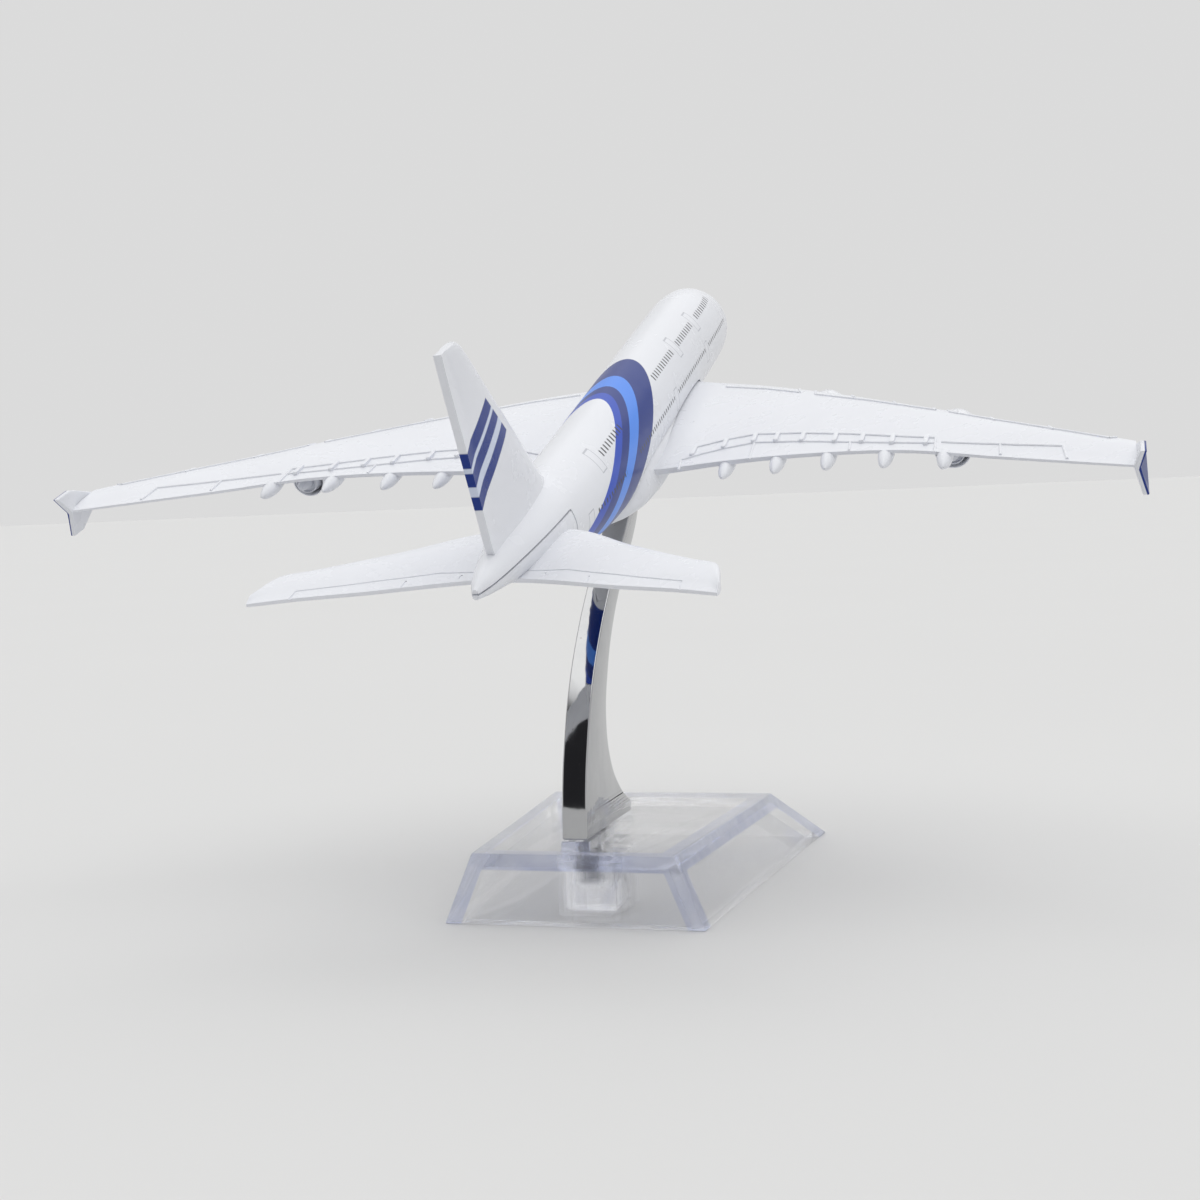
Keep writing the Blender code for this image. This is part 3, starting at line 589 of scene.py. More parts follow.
def clear_finish():
    """Clear moulded plastic with faint flow lines and fine scratches. Where two walls or a wall and the top
    plate meet it is violet-blue: the plastic's own faint tint, strengthened by painted colour for the light
    that the thick corners refract and reflect."""
    graph = Graph("clear_plastic")
    vector = graph.position(scale=(0.001, 0.001, 0.001))
    x, y, z = graph.split(graph.position(location=(0, CENTRE_Y, 0), scale=(0.001, 0.001, 0.001)))[:3]
    share = (BASE_HEIGHT * 1000 - z) / (BASE_HEIGHT * 1000)
    rear, wall = PLATE_LENGTH * 500, BASE_WALL * 1000
    half = (rear - y) * SIDE_SPREAD + share * (SIDE_FLARE * 1000) + PLATE_REAR_HALF * 1000
    side = (half - x.size()).below(wall, 0.15)
    ends = (y - share * (REAR_RUN * 1000)).above(rear - wall, 0.15).either(
        (y + share * (FRONT_RUN * 1000)).below(-rear + wall * FRONT_INSET, 0.3))
    plate = z.above((BASE_HEIGHT - PLATE_THICK) * 1000, 0.15)
    edge = (side + ends + plate).above(1.5, 0.2)
    flow = graph.noise(graph.position(scale=(0.02, 0.02, 0.006)), 1.0, 2.0)
    scratch = graph.noise(vector, 3.0, 5.0, 0.7).above(0.66, 0.04)
    streak = graph.noise(graph.position(scale=(0.006, 0.0012, 0.004)), 1.0, 3.0).above(0.45, 0.2)
    socket_y = (y - SOCKET_Y * 1000).size().below(5.4, 0.1)
    socket = x.size().below(4.7, 0.1) * socket_y * z.below(BASE_HEIGHT * 1000 + 2.0, 0.1) * z.above(-1.0)
    # violet-blue corner bands, streaked by a noise: the plastic's faint tint plus painted colour for light
    # refracted and reflected in the thick corners
    corner_tint_and_refraction = graph.mix(streak, (0.36, 0.42, 0.72), (0.62, 0.67, 0.92))
    shade = graph.mix(edge, graph.mix(flow.above(0.5, 0.3), (0.975, 0.98, 0.995), (0.95, 0.955, 0.985)), corner_tint_and_refraction)
    return graph.finish(Base_Color=shade, Roughness=scratch * 0.05 + 0.015, IOR=1.47, Transmission_Weight=1.0,
                        Alpha=(edge * 0.45 + 0.38).either(socket * 0.9),
                        Normal=graph.bump(flow, 0.00005, 0.3))


# --- fuselage with its fin
AROUND = 72


def oval_rings(rows, grow=0.0, power=2.0):
    """Cross-sections a little fuller below, at rows of station, top, bottom and half width."""
    angle = np.linspace(0, 2 * math.pi, AROUND, endpoint=False)
    c, s = np.cos(angle), np.sin(angle)
    across = np.sign(s) * np.abs(s) ** (2 / power)
    up = np.sign(c) * np.abs(c) ** (2 / power)
    station, top, bottom, half = (rows[:, i:i + 1] for i in range(4))
    x = (half + grow) * across * (1.0 - 0.05 * up)
    z = (top + bottom) / 2 + ((top - bottom) / 2 + grow) * up
    return to_world(np.stack((x, station + np.zeros_like(x), z), axis=-1))


def fin_blank():
    rings = []
    for height, lead, trail, thick in smooth_rows(FIN, 46):
        chord = trail - lead
        right = [(max(t * thick / 2, FIN_TE_THICK / 2 * c), lead + chord * c, height)
                 for c, t in FINE_SECTION]
        left = [(-x, y, z) for x, y, z in reversed(right[1:])]
        rings.append(right + left)
    return skin("fin_blank", to_world(rings))


def tail_box(gap, name="tail_box"):
    """The space behind and below the joint between fuselage and tail casting."""
    return block(name, (-4, TAIL_FRONT - gap, -5), (4, 74, SEAM_HEIGHT + gap), aircraft)


def fuselage_casting():
    obj = skin("fuselage_shell", oval_rings(smooth_rows(FUSELAGE, 150)))
    carve(obj, [fin_blank()], "UNION")
    belly = skin("belly_cut", oval_rings(smooth_rows(FAIRING, 60), GAP_FULL, FAIRING_POWER))
    roots = surface_body("root_cut", FINE_WING[FINE_WING[:, 0] < 7.0], GAP_FULL)
    carve(obj, [belly, roots, tail_box(GAP_FULL)])
    put(obj, "aircraft", fuselage_finish(), ["fuselage_casting"])


# --- wing and tailplane surfaces
def section_points(row, grow=0.0):
    """One wing section as (station, height) points: over the top and back underneath."""
    _, lead, trail, height, twist, thick = row
    lead, trail = lead - grow, trail + grow
    chord, slope = trail - lead, math.tan(math.radians(twist))
    upper = [(lead + chord * c, t * thick / 2 + (grow if t else 0.0)) for c, t in FINE_SECTION]
    lower = [(s, -UNDER_SHARE * (t - (grow if t else 0.0)) - (grow if t else 0.0))
             for s, t in reversed(upper[1:])]
    return [(s, height + t - (s - lead - 0.3 * chord) * slope) for s, t in upper + lower]


def surface_body(name, rows, grow=0.0):
    rings = []
    for side, order in ((-1, rows[:0:-1]), (1, rows)):
        for row in order:
            rings.append([(side * row[0], station, height) for station, height in section_points(row, grow)])
    return skin(name, to_world(rings))


def skin_height(rows, lateral, station, upper=True):
    """Height of a wing's or tailplane's skin at a place in plan."""
    lead, trail, height, twist, thick = (np.interp(lateral, rows[:, 0], rows[:, i]) for i in range(1, 6))
    share = np.clip((station - lead) / (trail - lead), 0.0, 1.0)
    half = np.interp(share, FINE_SECTION[:, 0], FINE_SECTION[:, 1]) * thick / 2
    drop = (station - (lead + 0.3 * (trail - lead))) * np.tan(np.radians(twist))
    return height + (half if upper else -UNDER_SHARE * half) - drop


def on_skin(rows, side, line, lift, steps=26):
    """World points along a line of (lateral, station) stops, lifted off the upper skin."""
    stops = np.array(line, float)
    lateral = np.concatenate([np.linspace(a, b, steps, endpoint=False)
                              for a, b in zip(stops[:, 0], stops[1:, 0])] + [stops[-1:, 0]])
    station = np.concatenate([np.linspace(a, b, steps, endpoint=False)
                              for a, b in zip(stops[:, 1], stops[1:, 1])] + [stops[-1:, 1]])
    height = skin_height(rows, lateral, station) + lift
    return to_world(np.stack((side * lateral, station, height), axis=-1))


def line_object(name, lines):
    """Open lines as one edge mesh."""
    vertices, edges = [], []
    for line in lines:
        first = len(vertices)
        vertices += [tuple(point) for point in line]
        edges += [(first + i, first + i + 1) for i in range(len(line) - 1)]
    mesh = bpy.data.meshes.new(name)
    mesh.from_pydata(vertices, edges, [])
    return in_scene(name, mesh)


def new_tree(name, sizes):
    """A geometry tree with named number inputs. Gives the tree, its input and output nodes, and the
    identifiers of its inputs."""
    tree = bpy.data.node_groups.new(name, "GeometryNodeTree")
    tree.interface.new_socket("Geometry", in_out="INPUT", socket_type="NodeSocketGeometry")
    tree.interface.new_socket("Finish", in_out="INPUT", socket_type="NodeSocketMaterial")
    for label in sizes:
        tree.interface.new_socket(label, in_out="INPUT", socket_type="NodeSocketFloat")
    tree.interface.new_socket("Geometry", in_out="OUTPUT", socket_type="NodeSocketGeometry")
    names = {item.name: item.identifier for item in tree.interface.items_tree if item.in_out == "INPUT"}
    return tree, tree.nodes.new("NodeGroupInput"), tree.nodes.new("NodeGroupOutput"), names


def step(tree, kind, settings=None, links=None):
    """Adds a geometry node with its settings, values and links."""
    node = tree.nodes.new(kind)
    for key, value in (settings or {}).items():
        setattr(node, key, value)
    for key, value in (links or {}).items():
        if isinstance(value, bpy.types.NodeSocket):
            tree.links.new(value, node.inputs[key])
        else:
            node.inputs[key].default_value = value
    return node


def run_tree(obj, tree, names, values):
    """Runs a tree on an object and keeps the result as its plain mesh."""
    modifier = obj.modifiers.new(tree.name, "NODES")
    modifier.node_group = tree
    for label, value in values.items():
        modifier[names[label]] = value
    settle(obj)
    face_outward(obj.data)
    return obj


def close_tree(tree, given, out, last):
    """Ends a tree: instances made real, and the finish set on them."""
    real = step(tree, "GeometryNodeRealizeInstances", None, {"Geometry": last.outputs[0]})
    painted = step(tree, "GeometryNodeSetMaterial", None, {
        "Geometry": real.outputs[0], "Material": given.outputs["Finish"]})
    tree.links.new(painted.outputs[0], out.inputs[0])


def ridge_tree():
    """Sweeps a low round-topped bead along every edge line."""
    tree, given, out, names = new_tree("raised_line", ("Radius",))
    curves = step(tree, "GeometryNodeMeshToCurve", None, {"Mesh": given.outputs["Geometry"]})
    profile = step(tree, "GeometryNodeCurvePrimitiveCircle", {"mode": "RADIUS"},
                   {"Resolution": 8, "Radius": given.outputs["Radius"]})
    swept = step(tree, "GeometryNodeCurveToMesh", None, {
        "Curve": curves.outputs[0], "Profile Curve": profile.outputs[0], "Fill Caps": True})
    close_tree(tree, given, out, swept)
    return tree, names


def beads(name, lines, radius, finish):
    tree, names = ridge_tree()
    return run_tree(line_object(name, lines), tree, names, {"Finish": finish, "Radius": radius})


def fence_plate(side):
    rings = []
    for offset in (-FENCE_THICK / 2, FENCE_THICK / 2):
        ring = []
        for station, height in FENCE:
            lean = FENCE_LEAN * abs(height - FENCE_KINK)
            ring.append((side * (WING_TIP + FENCE_OUT + lean) + offset, station, height))
        rings.append(ring)
    return ease(skin("fence_plate", to_world(rings)), 0.00022, 3, 50)


def track_pod(side, lateral):
    """A flap-track fairing, pointed at both ends and flattened where it meets the wing."""
    middle = row_at(WING, lateral)[2] - TRACK_AHEAD
    length = TRACK_LENGTH if lateral < OUTER_TRACKS_FROM else OUTER_TRACK_LENGTH
    low = skin_height(FINE_WING, lateral, middle, upper=False) - TRACK_DROP
    angle = np.linspace(0, 2 * math.pi, 20, endpoint=False)
    rings = []
    # rings bunch towards the pointed ends
    for share in np.cos(np.linspace(math.pi, 0, 17))[1:-1]:
        girth = TRACK_RADIUS * (1 - share * share) ** 0.62
        rings.append([(side * lateral + girth * math.sin(a), middle + length * share,
                       low + girth * math.cos(a)) for a in angle])
    return skin("track_pod", to_world(rings))


# raised lines of the wing's upper skin, as (lateral, station) stops
SLAT_LINES = (((6.6, 24.4), (10.5, 26.4), (13.7, 28.6)), ((13.7, 28.6), (13.5, 27.3)),
              ((15.2, 29.7), (20.0, 33.0), (25.6, 37.4)), ((25.6, 37.4), (25.4, 36.6)),
              ((15.2, 29.7), (15.0, 28.4)),
              ((26.8, 38.3), (32.0, 42.9), (38.4, 48.9)), ((26.8, 38.3), (26.5, 37.3)),
              ((38.4, 48.9), (38.9, 48.8)))
SLAT_BREAKS = (18.3, 22.0, 29.9, 34.2)
FLAP_LINES = (((6.5, 37.55), (8.85, 37.05), (11.3, 36.9), (15.1, 38.15), (19.3, 39.95), (26.1, 43.35)),
              ((5.8, 39.6), (7.2, 39.1), (9.15, 38.7), (11.5, 38.5), (15.3, 39.75), (19.5, 41.5),
               (26.1, 44.25)),
              ((26.1, 43.35), (26.2, 46.0)), ((5.7, 39.6), (5.9, 41.6)),
              ((11.5, 38.5), (11.6, 41.7)), ((19.5, 41.5), (19.6, 43.1)),
              ((26.6, 44.3), (30.9, 46.5), (35.3, 49.0)), ((35.3, 49.0), (35.6, 51.2)),
              ((30.9, 46.5), (31.0, 48.3)))
LINE_RADIUS = 0.00024
RIB_SIZE = {"Length": 0.0040, "Width": 0.0008, "Height": 0.0009}
BRACKETS = ((6.5, 38.4), (9.0, 37.9), (11.4, 37.7), (13.3, 38.3), (15.5, 39.1), (18.2, 40.3), (20.4, 41.2),
            (22.8, 42.3), (25.4, 43.5))


def slat_break_lines(side, rows):
    """Short ticks from the slat line to the leading edge."""
    lines = []
    for lateral in SLAT_BREAKS:
        lead = np.interp(lateral, rows[:, 0], rows[:, 1])
        lines.append(on_skin(rows, side, ((lateral, lead + 0.25), (lateral + 0.35, lead + 1.35)), 0.0, 8))
    return lines


def bracket_tree():
    """Sets a small rounded rib on each point, turned to the flight direction."""
    tree, given, out, names = new_tree("spoiler_ribs", ("Length", "Width", "Height"))
    # X is across the wing, Y along the flight
    size = step(tree, "ShaderNodeCombineXYZ", None, {
        0: given.outputs["Width"], 1: given.outputs["Length"], 2: given.outputs["Height"]})
    rib = step(tree, "GeometryNodeMeshCube", None, {"Size": size.outputs[0]})
    round_rib = step(tree, "GeometryNodeSubdivisionSurface", None, {"Mesh": rib.outputs[0], "Level": 2,
                                                                   "Edge Crease": 0.55})
    placed = step(tree, "GeometryNodeInstanceOnPoints", None, {
        "Points": given.outputs["Geometry"], "Instance": round_rib.outputs[0],
        "Rotation": (-PITCH, 0.0, 0.0)})
    close_tree(tree, given, out, placed)
    return tree, names


def ribs(rows, finish):
    points = [on_skin(rows, side, (place, place), 0.02, 1)[0] for side in (-1, 1) for place in BRACKETS]
    mesh = bpy.data.meshes.new("spoiler_ribs")
    mesh.from_pydata([tuple(point) for point in points], [], [])
    tree, names = bracket_tree()
    return run_tree(in_scene("spoiler_ribs", mesh), tree, names, {"Finish": finish, **RIB_SIZE})


def sink(station, face, depth, above):
    """A round cutter for a screw's head at a place on the belly, from depth below the face to above it."""
    width = SCREW_HEAD_R + GAP
    return turned("sink", [(0.0, above), (width, above), (width, -depth), (0.0, -depth)],
                  aircraft(0, station, face), UP, 32)


def wing_casting():
    finish = wing_finish()
    obj = surface_body("wing_shell", FINE_WING)
    fairing = skin("belly_fairing", oval_rings(smooth_rows(FAIRING, 60), 0.0, FAIRING_POWER))
    extras = [fairing]
    for side in (-1, 1):
        extras.append(fence_plate(side))
        extras += [track_pod(side, lateral) for lateral in FLAP_TRACKS]
    carve(obj, extras, "UNION")
    bore = turned("peg_bore", [(0.0, 0.0051), (PIN_R + GAP, 0.0051), (PIN_R + GAP, -0.001), (0.0, -0.001)],
                  SEAT, UP, 32)
    carve(obj, [bore] + [sink(station, row_at(FAIRING, station)[2], 0.002, 0.0012)
                         for station in SCREW_STATIONS])
    lines = []
    for side in (-1, 1):
        lines += [on_skin(FINE_WING, side, line, 0.0) for line in SLAT_LINES + FLAP_LINES]
        lines += slat_break_lines(side, FINE_WING)
    raised = [beads("wing_lines", lines, LINE_RADIUS, finish), ribs(FINE_WING, finish)]
    obj = joined("wing_shell", [obj, *raised])
    put(obj, "aircraft", finish, ["wing_casting"])


GROOVE_RADIUS = 0.00017
GROOVE_LIFT = 0.015             # of a groove's centre line above the skin
# a line that meets another stops short of it, so that no two cutters overlap
HINGE_LINES = (((1.2, 66.7), (4.4, 67.35), (6.4, 68.35), (9.8, 69.95), (13.0, 71.35), (13.1, 72.5)),
               ((6.3, 68.75), (6.35, 69.65)), ((2.9, 67.35), (2.95, 67.85)))


def tailplane_casting():
    obj = skin("tail_shell", oval_rings(smooth_rows(FUSELAGE, 150)))
    carve(obj, [tail_box(0.0, "tail_keep")], "INTERSECT")
    carve(obj, [surface_body("tailplane", FINE_TAILPLANE)], "UNION")
    finish = tail_finish()
    cutters = [sink(TAIL_SCREW_STATION, row_at(FUSELAGE, TAIL_SCREW_STATION)[2], 0.003, 0.0013)]
    for side in (-1, 1):
        for line in HINGE_LINES:
            groove = on_skin(FINE_TAILPLANE, side, line, GROOVE_LIFT)
            cutters.append(beads("groove", [groove], GROOVE_RADIUS, finish))
    carve(obj, cutters)
    put(obj, "aircraft", finish, ["tailplane_casting"])


# --- engines
# profiles about the engine's axis: radius, distance behind the intake lip
COWL = ((1.26, 0.00), (1.33, 0.00), (1.41, 0.05), (1.51, 0.22), (1.61, 0.55), (1.67, 1.0), (1.71, 1.6),
        (1.715, 2.2), (1.70, 2.8), (1.65, 3.6), (1.58, 4.4), (1.50, 5.0), (1.40, NACELLE_LENGTH),
        (1.34, NACELLE_LENGTH), (1.26, 5.3), (1.26, 3.5), (0.50, 3.5), (0.50, 2.4), (1.26, 2.4), (1.26, 1.0),
        (1.20, 0.5), (1.18, 0.25), (1.20, 0.08))
CORE = ((0.0, 3.00), (0.50 - GAP_FULL, 3.00), (0.50 - GAP_FULL, 3.5 + GAP_FULL), (1.06, 3.5 + GAP_FULL),
        (1.10, 4.2), (1.09, 4.8), (1.03, 5.4), (0.94, 6.0), (0.86, 6.0), (0.86, 5.7), (0.58, 5.75),
        (0.52, 6.3), (0.40, 6.8), (0.22, 7.15), (0.0, 7.3))
SPINNER = ((0.0, 0.70), (0.14, 0.78), (0.25, 0.95), (0.35, 1.2), (0.42, 1.40), (0.46, 1.60), (0.46, 1.75),
           (1.12, 1.80), (1.12, 2.4 - GAP_FULL), (0.50 - GAP_FULL, 2.4 - GAP_FULL), (0.50 - GAP_FULL, 2.85),
           (0.0, 2.85))
BLADE_ROOT, BLADE_TIP = 0.38, 1.15
BLADES = 20
BLADE_STATION = 1.42            # behind the intake lip


def engine_centre(lateral):
    """Station and height of the middle of a nacelle's intake lip."""
    lead = row_at(WING, lateral)[1]
    return lead - NACELLE_AHEAD, skin_height(np.array(WING), lateral, lead, upper=False) - NACELLE_DROP


def pylon(lateral, side):
    """The blade between a cowl and the underside of the wing, rounded at its front."""
    station, height = engine_centre(lateral)
    lead = row_at(WING, lateral)[1]
    low = height + PYLON_ROOT

    def under(place):
        return skin_height(np.array(WING), lateral, place, upper=False) - GAP_FULL - 0.06

    stops = ((station + 0.8, low, low + 0.38, 0.5), (station + 1.5, low, low + 0.50, 0.9),
             (lead - 1.0, low, low + 0.70, 1.0), (lead - 0.4, low, under(lead + 0.4), 1.0),
             (lead + 0.4, low, under(lead + 0.4), 1.0), (lead + 1.6, low, under(lead + 1.6), 1.0),
             (lead + 3.0, low + 0.05, under(lead + 3.0), 0.9),
             (lead + 4.2, under(lead + 4.2) - 0.5, under(lead + 4.2), 0.7),
             (lead + 5.2, under(lead + 5.2) - 0.12, under(lead + 5.2), 0.4))
    rings = []
    for place, bottom, top, wide in stops:
        half = PYLON_HALF * wide
        rings.append([(side * lateral + x, place, z) for x, z in
                      ((-half, bottom), (half, bottom), (half, top), (-half, top))])
    return ease(skin("pylon", to_world(rings)), 0.00012, 2, 50)


def blade_tree():
    """Copies one blade about the fan's axis."""
    tree, given, out, names = new_tree("fan_blades", ("Count", "Turn"))
    count = step(tree, "FunctionNodeFloatToInt", None, {0: given.outputs["Count"]})
    points = step(tree, "GeometryNodePoints", None, {"Count": count.outputs[0]})
    index = step(tree, "GeometryNodeInputIndex")
    angle = step(tree, "ShaderNodeMath", {"operation": "MULTIPLY"}, {
        0: index.outputs[0], 1: given.outputs["Turn"]})
    spin = step(tree, "ShaderNodeCombineXYZ", None, {2: angle.outputs[0]})
    placed = step(tree, "GeometryNodeInstanceOnPoints", None, {
        "Points": points.outputs[0], "Instance": given.outputs["Geometry"], "Rotation": spin.outputs[0]})
    close_tree(tree, given, out, placed)
    return tree, names


def fan_blades(hub, finish):
    """A ring of twisted blades in front of the fan's web, at the hub's world position."""
    rings = []
    for share in np.linspace(0, 1, 7):
        radius = BLADE_ROOT + (BLADE_TIP - BLADE_ROOT) * share
        lean = math.radians(28 + 34 * share)
        half, thick = 0.17 + 0.05 * share, 0.018
        ring = []
        for along, out in ((-half, -thick), (half, -thick), (half, thick), (-half, thick)):
            ring.append((radius, along * math.sin(lean) + out * math.cos(lean),
                         -along * math.cos(lean) + out * math.sin(lean)))
        rings.append(ring)
    blade = skin("fan_blade", np.array(rings) * AIR_SCALE)
    tree, names = blade_tree()
    run_tree(blade, tree, names, {"Finish": finish, "Count": float(BLADES), "Turn": 2 * math.pi / BLADES})
    place = Matrix.Translation(hub) @ Matrix(((1, 0, 0), tuple(UP), tuple(-AFT))).transposed().to_4x4()
    blade.data.transform(place)
    return blade


def engine(place, lateral, side, finishes):
    tag = "%s_%s" % (place, "port" if side > 0 else "starboard")
    station, height = engine_centre(lateral)
    lip = aircraft(side * lateral, station, height)
    scaled = [[(r * AIR_SCALE, d * AIR_SCALE) for r, d in profile] for profile in (COWL, SPINNER, CORE)]
    cowl = turned("cowl_" + tag, scaled[0], lip, AFT, 72)
    carve(cowl, [pylon(lateral, side)], "UNION")
    put(cowl, "aircraft", finishes["cowl_" + place], ["nacelle_" + tag], 40)
    hub = turned("fan_" + tag, scaled[1], lip, AFT, 48)
    blades = fan_blades(aircraft(side * lateral, station + BLADE_STATION, height), finishes["fan"])
    fan = joined("fan_" + tag, [hub, blades])
    put(fan, "aircraft", finishes["fan"], ["fan_disc_" + tag])
    core = turned("exhaust_" + tag, scaled[2], lip, AFT, 48)
    put(core, "aircraft", finishes["core"], ["core_nozzle_" + tag])


# --- fasteners and pin
def cross_screw(name, station, face, top, finish, node):
    """A pan-head screw with a cross recess, head down."""
    length = (top - face) * AIR_SCALE
    head = SCREW_HEAD_R
    profile = [(0.0, length), (0.0003, length - 0.0003), (0.0008, length - 0.0009)]
    turns = int((length - 0.0024) / 0.0005)
    for k in range(turns):
        z = length - 0.0010 - 0.0005 * k
        profile += [(0.0008, z), (0.00062, z - 0.00025)]
    profile += [(0.0008, 0.00125), (0.0008, 0.0009), (head, 0.0009), (head, 0.00045),
                (head - 0.00015, 0.0002), (head - 0.0005, 0.00004), (0.0, 0.0)]
    seat = aircraft(0, station, face)
    screw = turned(name, profile, seat, UP, 32)
    turn = Matrix((Vector((1, 0, 0)), AFT, UP)).transposed()

    def beside(x, y, z):
        return seat + turn @ Vector((x, y, z))

    slots = [block("slot", (-a, -b, -0.0002), (a, b, 0.00045), beside)
             for a, b in ((0.0009, 0.00018), (0.00018, 0.0009))]
    carve(screw, slots)
    put(screw, "aircraft", finish, [node])


def fasteners(finish):
    front, rear = SCREW_STATIONS
    for name, station, node in (("belly_screw_fore", front, "wing_screw_front"),
                                ("belly_screw_aft", rear, "wing_screw_rear")):
        cross_screw(name, station, row_at(FAIRING, station)[2] + 0.02, 2.4, finish, node)
    face = row_at(FUSELAGE, TAIL_SCREW_STATION)[2] + 0.18
    cross_screw("tail_joint_screw", TAIL_SCREW_STATION, face, 3.0, finish, "tail_screw")


def swivel_pin(finish):
    low, high = -0.0040, 0.0045
    collar = 0.0020
    profile = [(0.0, high), (PIN_R - 0.0004, high), (PIN_R - 0.0001, high - 0.0003), (PIN_R, high - 0.0006),
               (PIN_R, -0.0003), (collar - 0.00012, -0.0003), (collar, -0.00042), (collar, -0.00078),
               (collar - 0.00012, -0.0009), (PIN_R, -0.0009), (PIN_R, low), (0.0, low)]
    put(turned("swivel_peg", profile, SEAT, UP, 48), "pin", finish, ["swivel_pin"])


# --- arm
CENTRE_Y = SEAT.y + 0.01222     # the stand's own middle, from which its sizes are measured
ARM_FOOT_Z = 0.0133
ARM_THICK = 0.0042
ARM_TOP_HALF = 0.0031
SOCKET_Y = 0.0145               # of the tenon and socket, behind the stand's middle
TENON_HALF = (0.0016, 0.00275)  # across, along
TENON_LENGTH = 0.0080


def arm_outline():
    """(Y, Z, is it a corner) around the arm, in the stand's own frame."""
    along, across = Vector((AFT.y, AFT.z)), Vector((UP.y, UP.z))
    top = Vector((SEAT.y - CENTRE_Y, SEAT.z)) - across * 0.0012
    front, back = top - along * ARM_TOP_HALF, top + along * ARM_TOP_HALF
    return [(-0.0002, ARM_FOOT_Z, True), (-0.0004, ARM_FOOT_Z + 0.0018, True),
            (0.0061, 0.0186, False), (0.0112, 0.0242, False), (0.0127, 0.0310, False),
            (0.0108, 0.0385, False), (0.0060, 0.0468, False), (-0.0020, 0.0550, False),
            (-0.0110, 0.0630, False), (front.x, front.y, True), (back.x, back.y, True),
            (-0.0005, 0.0595, False), (0.0078, 0.0522, False), (0.0145, 0.0450, False),
            (0.0199, 0.0372, False), (0.0233, 0.0295, False), (0.0256, 0.0215, False),
            (0.0264, ARM_FOOT_Z, True)]


def upright(name, half, low, high):
    """A box round the tenon's middle line, between two heights."""
    middle = CENTRE_Y + SOCKET_Y
    return block(name, (-half[0], middle - half[1], low), (half[0], middle + half[1], high))


def stand_arm(finish):
    curve = bpy.data.curves.new("arm_outline", "CURVE")
    curve.dimensions = "2D"
    curve.fill_mode = "BOTH"
    curve.extrude = ARM_THICK / 2
    curve.resolution_u = 14
    outline = arm_outline()
    spline = curve.splines.new("BEZIER")
    spline.bezier_points.add(len(outline) - 1)
    for point, (y, z, corner) in zip(spline.bezier_points, outline):
        point.co = (y, z, 0.0)
        point.handle_left_type = point.handle_right_type = "VECTOR" if corner else "AUTO"
    spline.use_cyclic_u = True
    drawn = in_scene("arm_outline", curve)
    mesh = evaluated_mesh(drawn)
    bpy.data.objects.remove(drawn)
    # the outline's own X and Y become the stand's Y and Z
    stand_up = Matrix(((0, 0, 1), (1, 0, 0), (0, 1, 0))).to_4x4()
    mesh.transform(Matrix.Translation((0, CENTRE_Y, 0)) @ stand_up)
    face_outward(mesh, 0.00001)
    arm = in_scene("chrome_arm", mesh)
    ease(arm, 0.00045, 4, 50)
    tenon = upright("tenon", TENON_HALF, ARM_FOOT_Z - TENON_LENGTH, ARM_FOOT_Z + 0.002)
    carve(arm, [ease(tenon, 0.00025, 2)], "UNION")
    bore = turned("pin_bore", [(0.0, 0.001), (PIN_R + GAP, 0.001), (PIN_R + GAP, -0.0043), (0.0, -0.0043)],
                  SEAT, UP, 40)
    carve(arm, [bore])
    put(arm, "arm", finish, ["stand_arm"])


# --- base
PLATE_LENGTH = 0.0577
PLATE_REAR_HALF = 0.0169
SIDE_SPREAD = 0.075
SIDE_FLARE = 0.00485
REAR_RUN = 0.0007
FRONT_RUN = 0.0215
BASE_HEIGHT = 0.0114
BASE_WALL = 0.0028
FRONT_INSET = 1.9
PLATE_THICK = 0.0026
SOCKET_HALF = (0.0043, 0.0050)
POCKET_HALF = (0.0019, 0.00305)
PAD_HALF = 0.0024
PAD_SPAN = (-0.0002, 0.0264)


def wedge(name, inset, top, low):
    """The base's outer form, or the form of its hollow when inset is the wall."""
    rear, front = PLATE_LENGTH / 2, -PLATE_LENGTH / 2
    rings = []
    for z in (top, low):
        share = (BASE_HEIGHT - z) / BASE_HEIGHT
        back = rear + REAR_RUN * share - inset
        fore = front - FRONT_RUN * share + inset * FRONT_INSET
        ring = []
        for sign, y in ((1, back), (-1, back), (-1, fore), (1, fore)):
            half = PLATE_REAR_HALF + SIDE_SPREAD * (rear - y) + SIDE_FLARE * share - inset
            ring.append((sign * half, y + CENTRE_Y, z))
        rings.append(ring)
    return skin(name, rings)


def base(finish):
    obj = wedge("clear_base", 0.0, BASE_HEIGHT, 0.0)
    carve(obj, [wedge("base_hollow", BASE_WALL, BASE_HEIGHT - PLATE_THICK, -0.001)])
    socket = upright("socket", SOCKET_HALF, 0.0003, BASE_HEIGHT - 0.0005)
    pad = block("pad", (-PAD_HALF, CENTRE_Y + PAD_SPAN[0], BASE_HEIGHT - 0.0005),
                (PAD_HALF, CENTRE_Y + PAD_SPAN[1], BASE_HEIGHT + 0.0016))
    carve(obj, [socket, pad], "UNION")
    carve(obj, [upright("pocket", POCKET_HALF, ARM_FOOT_Z - TENON_LENGTH - 0.0006, BASE_HEIGHT + 0.01)])
    ease(obj, 0.00022, 2, 40)
    put(obj, "base", finish, ["base_shell"])


# --- floor, light and camera
PALE = (0.71, 0.71, 0.71)


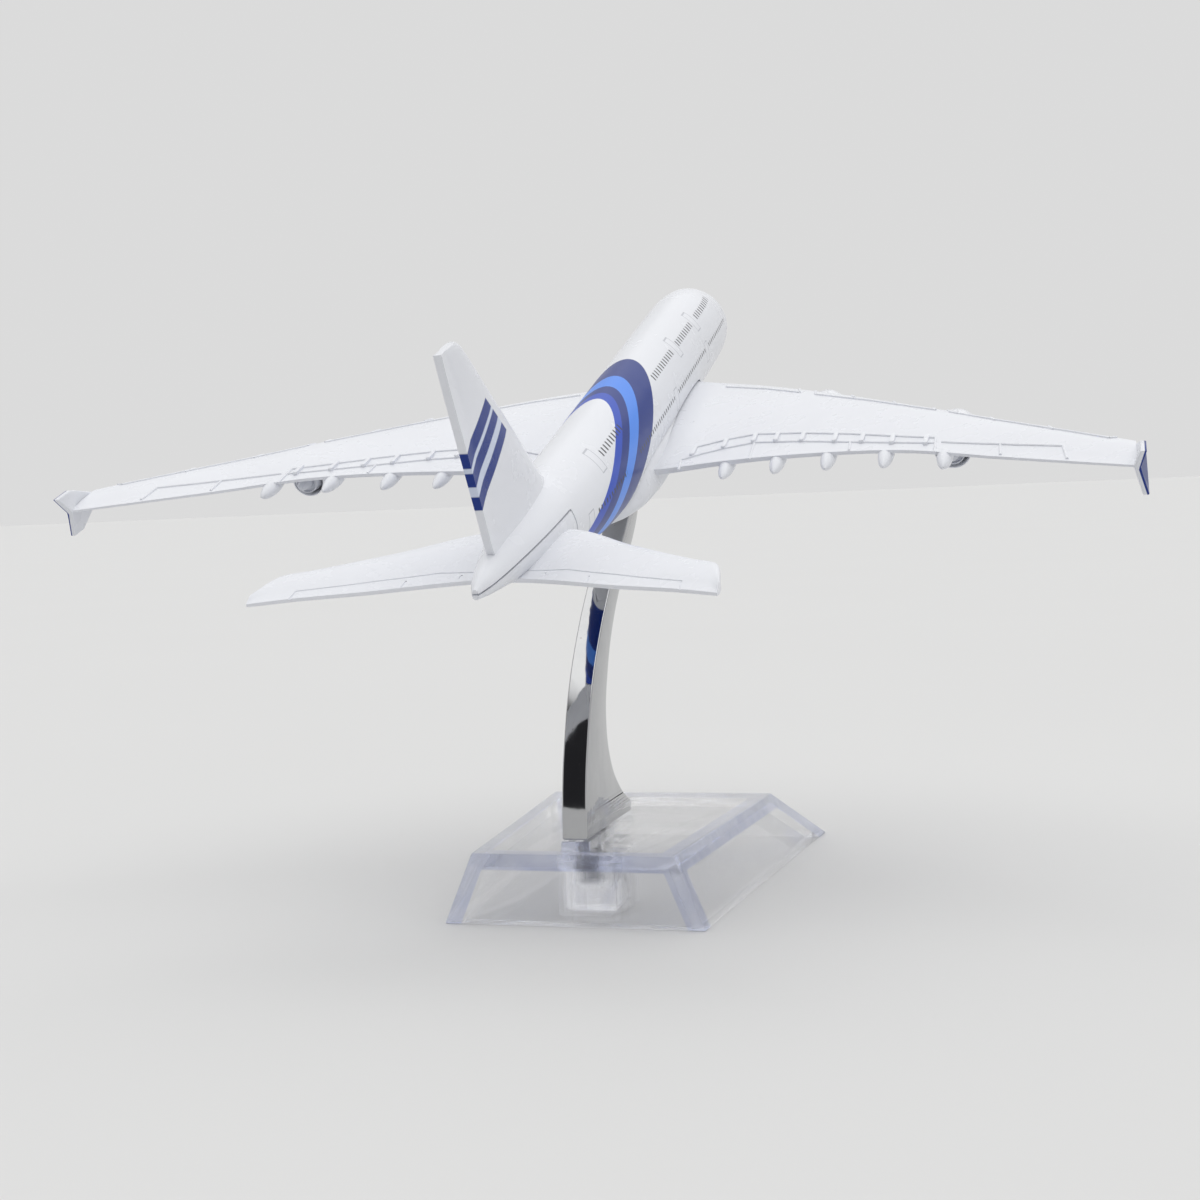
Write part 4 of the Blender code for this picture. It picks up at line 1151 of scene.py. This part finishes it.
def floor_and_light():
    floor = block("floor", (-30.0, -60.0, -0.05), (30.0, 8.0, -0.00008))
    graph = Graph("pale_floor")
    grain = graph.noise(graph.position(), 6.0, 3.0)
    floor.data.materials.append(graph.finish(
        Base_Color=graph.mix(grain, (0.664, 0.664, 0.664), (0.674, 0.674, 0.674)), Roughness=0.9,
        Specular_IOR_Level=0.1))
    world = bpy.data.worlds.new("studio")
    bpy.context.scene.world = world
    world.use_nodes = True
    graph = WorldGraph(world)
    x, y, z = graph.split(graph.node("ShaderNodeTexCoord")[0])[:3]
    # seen only in reflections: a dark wall on the tail's side and a bright panel overhead
    dark = y.above(0.36, 0.12) * z.below(0.62, 0.05) * x.within(-0.12, 0.66, 0.08)
    bright = y.above(-0.20, 0.20) * z.above(0.70, 0.06) * x.size().below(0.62, 0.12)
    studio = graph.mix(dark, graph.mix(bright, PALE, (1.55, 1.55, 1.53)), (0.03, 0.03, 0.033))
    seen = graph.node("ShaderNodeLightPath")[0]
    shade = graph.mix(seen, studio, PALE)
    graph.feed(graph.shader.inputs["Color"], shade)
    for name, angles, strength, spread in (("overhead", (24, -8), 0.56, 70.0),
                                           ("side", (20, 50), 0.10, 60.0)):
        light = bpy.data.lights.new(name, "SUN")
        light.angle = math.radians(spread)
        light.energy = strength
        lamp = in_scene(name, light)
        lamp.rotation_euler = (math.radians(angles[0]), math.radians(angles[1]), 0)
    bpy.context.scene.view_settings.view_transform = "Standard"


def camera():
    """Behind the aircraft, a little to starboard and just above the table."""
    azimuth, elevation, roll, distance = -0.288796, 0.020350, -0.041664, 0.301777
    target = Vector((0, CENTRE_Y + 0.006071, 0.062316))
    away = Vector((math.sin(azimuth) * math.cos(elevation), math.cos(azimuth) * math.cos(elevation),
                   math.sin(elevation)))
    right = (-away).cross(Vector((0, 0, 1))).normalized()
    above = right.cross(-away)
    c, s = math.cos(roll), math.sin(roll)
    turn = Matrix((right * c + above * s, above * c - right * s, away)).transposed()
    data = bpy.data.cameras.new("camera")
    data.sensor_width = 36.0
    data.lens = 52.977
    data.shift_x = 0.00163
    data.shift_y = -0.05745
    data.clip_start = 0.01
    data.clip_end = 20.0
    eye = in_scene("camera", data)
    eye.matrix_world = Matrix.Translation(target + away * distance) @ turn.to_4x4()
    bpy.context.scene.camera = eye


def main():
    camera()
    floor_and_light()
    steel = metal_finish("turned_steel", (0.56, 0.56, 0.58), 0.24, 1.0, 3.0, (1, 1, 0.2))
    finishes = {"fan": metal_finish("fan_grey", (0.16, 0.165, 0.18), 0.38, 0.35, 2.0),
                "core": metal_finish("nozzle_grey", (0.66, 0.68, 0.74), 0.40, 0.0, 2.5)}
    for place, lateral in ENGINES:
        finishes["cowl_" + place] = cowl_finish(place, lateral)
    fuselage_casting()
    wing_casting()
    tailplane_casting()
    for place, lateral in ENGINES:
        for side in (-1, 1):
            engine(place, lateral, side, finishes)
    fasteners(steel)
    swivel_pin(steel)
    stand_arm(chrome_finish())
    base(clear_finish())


main()
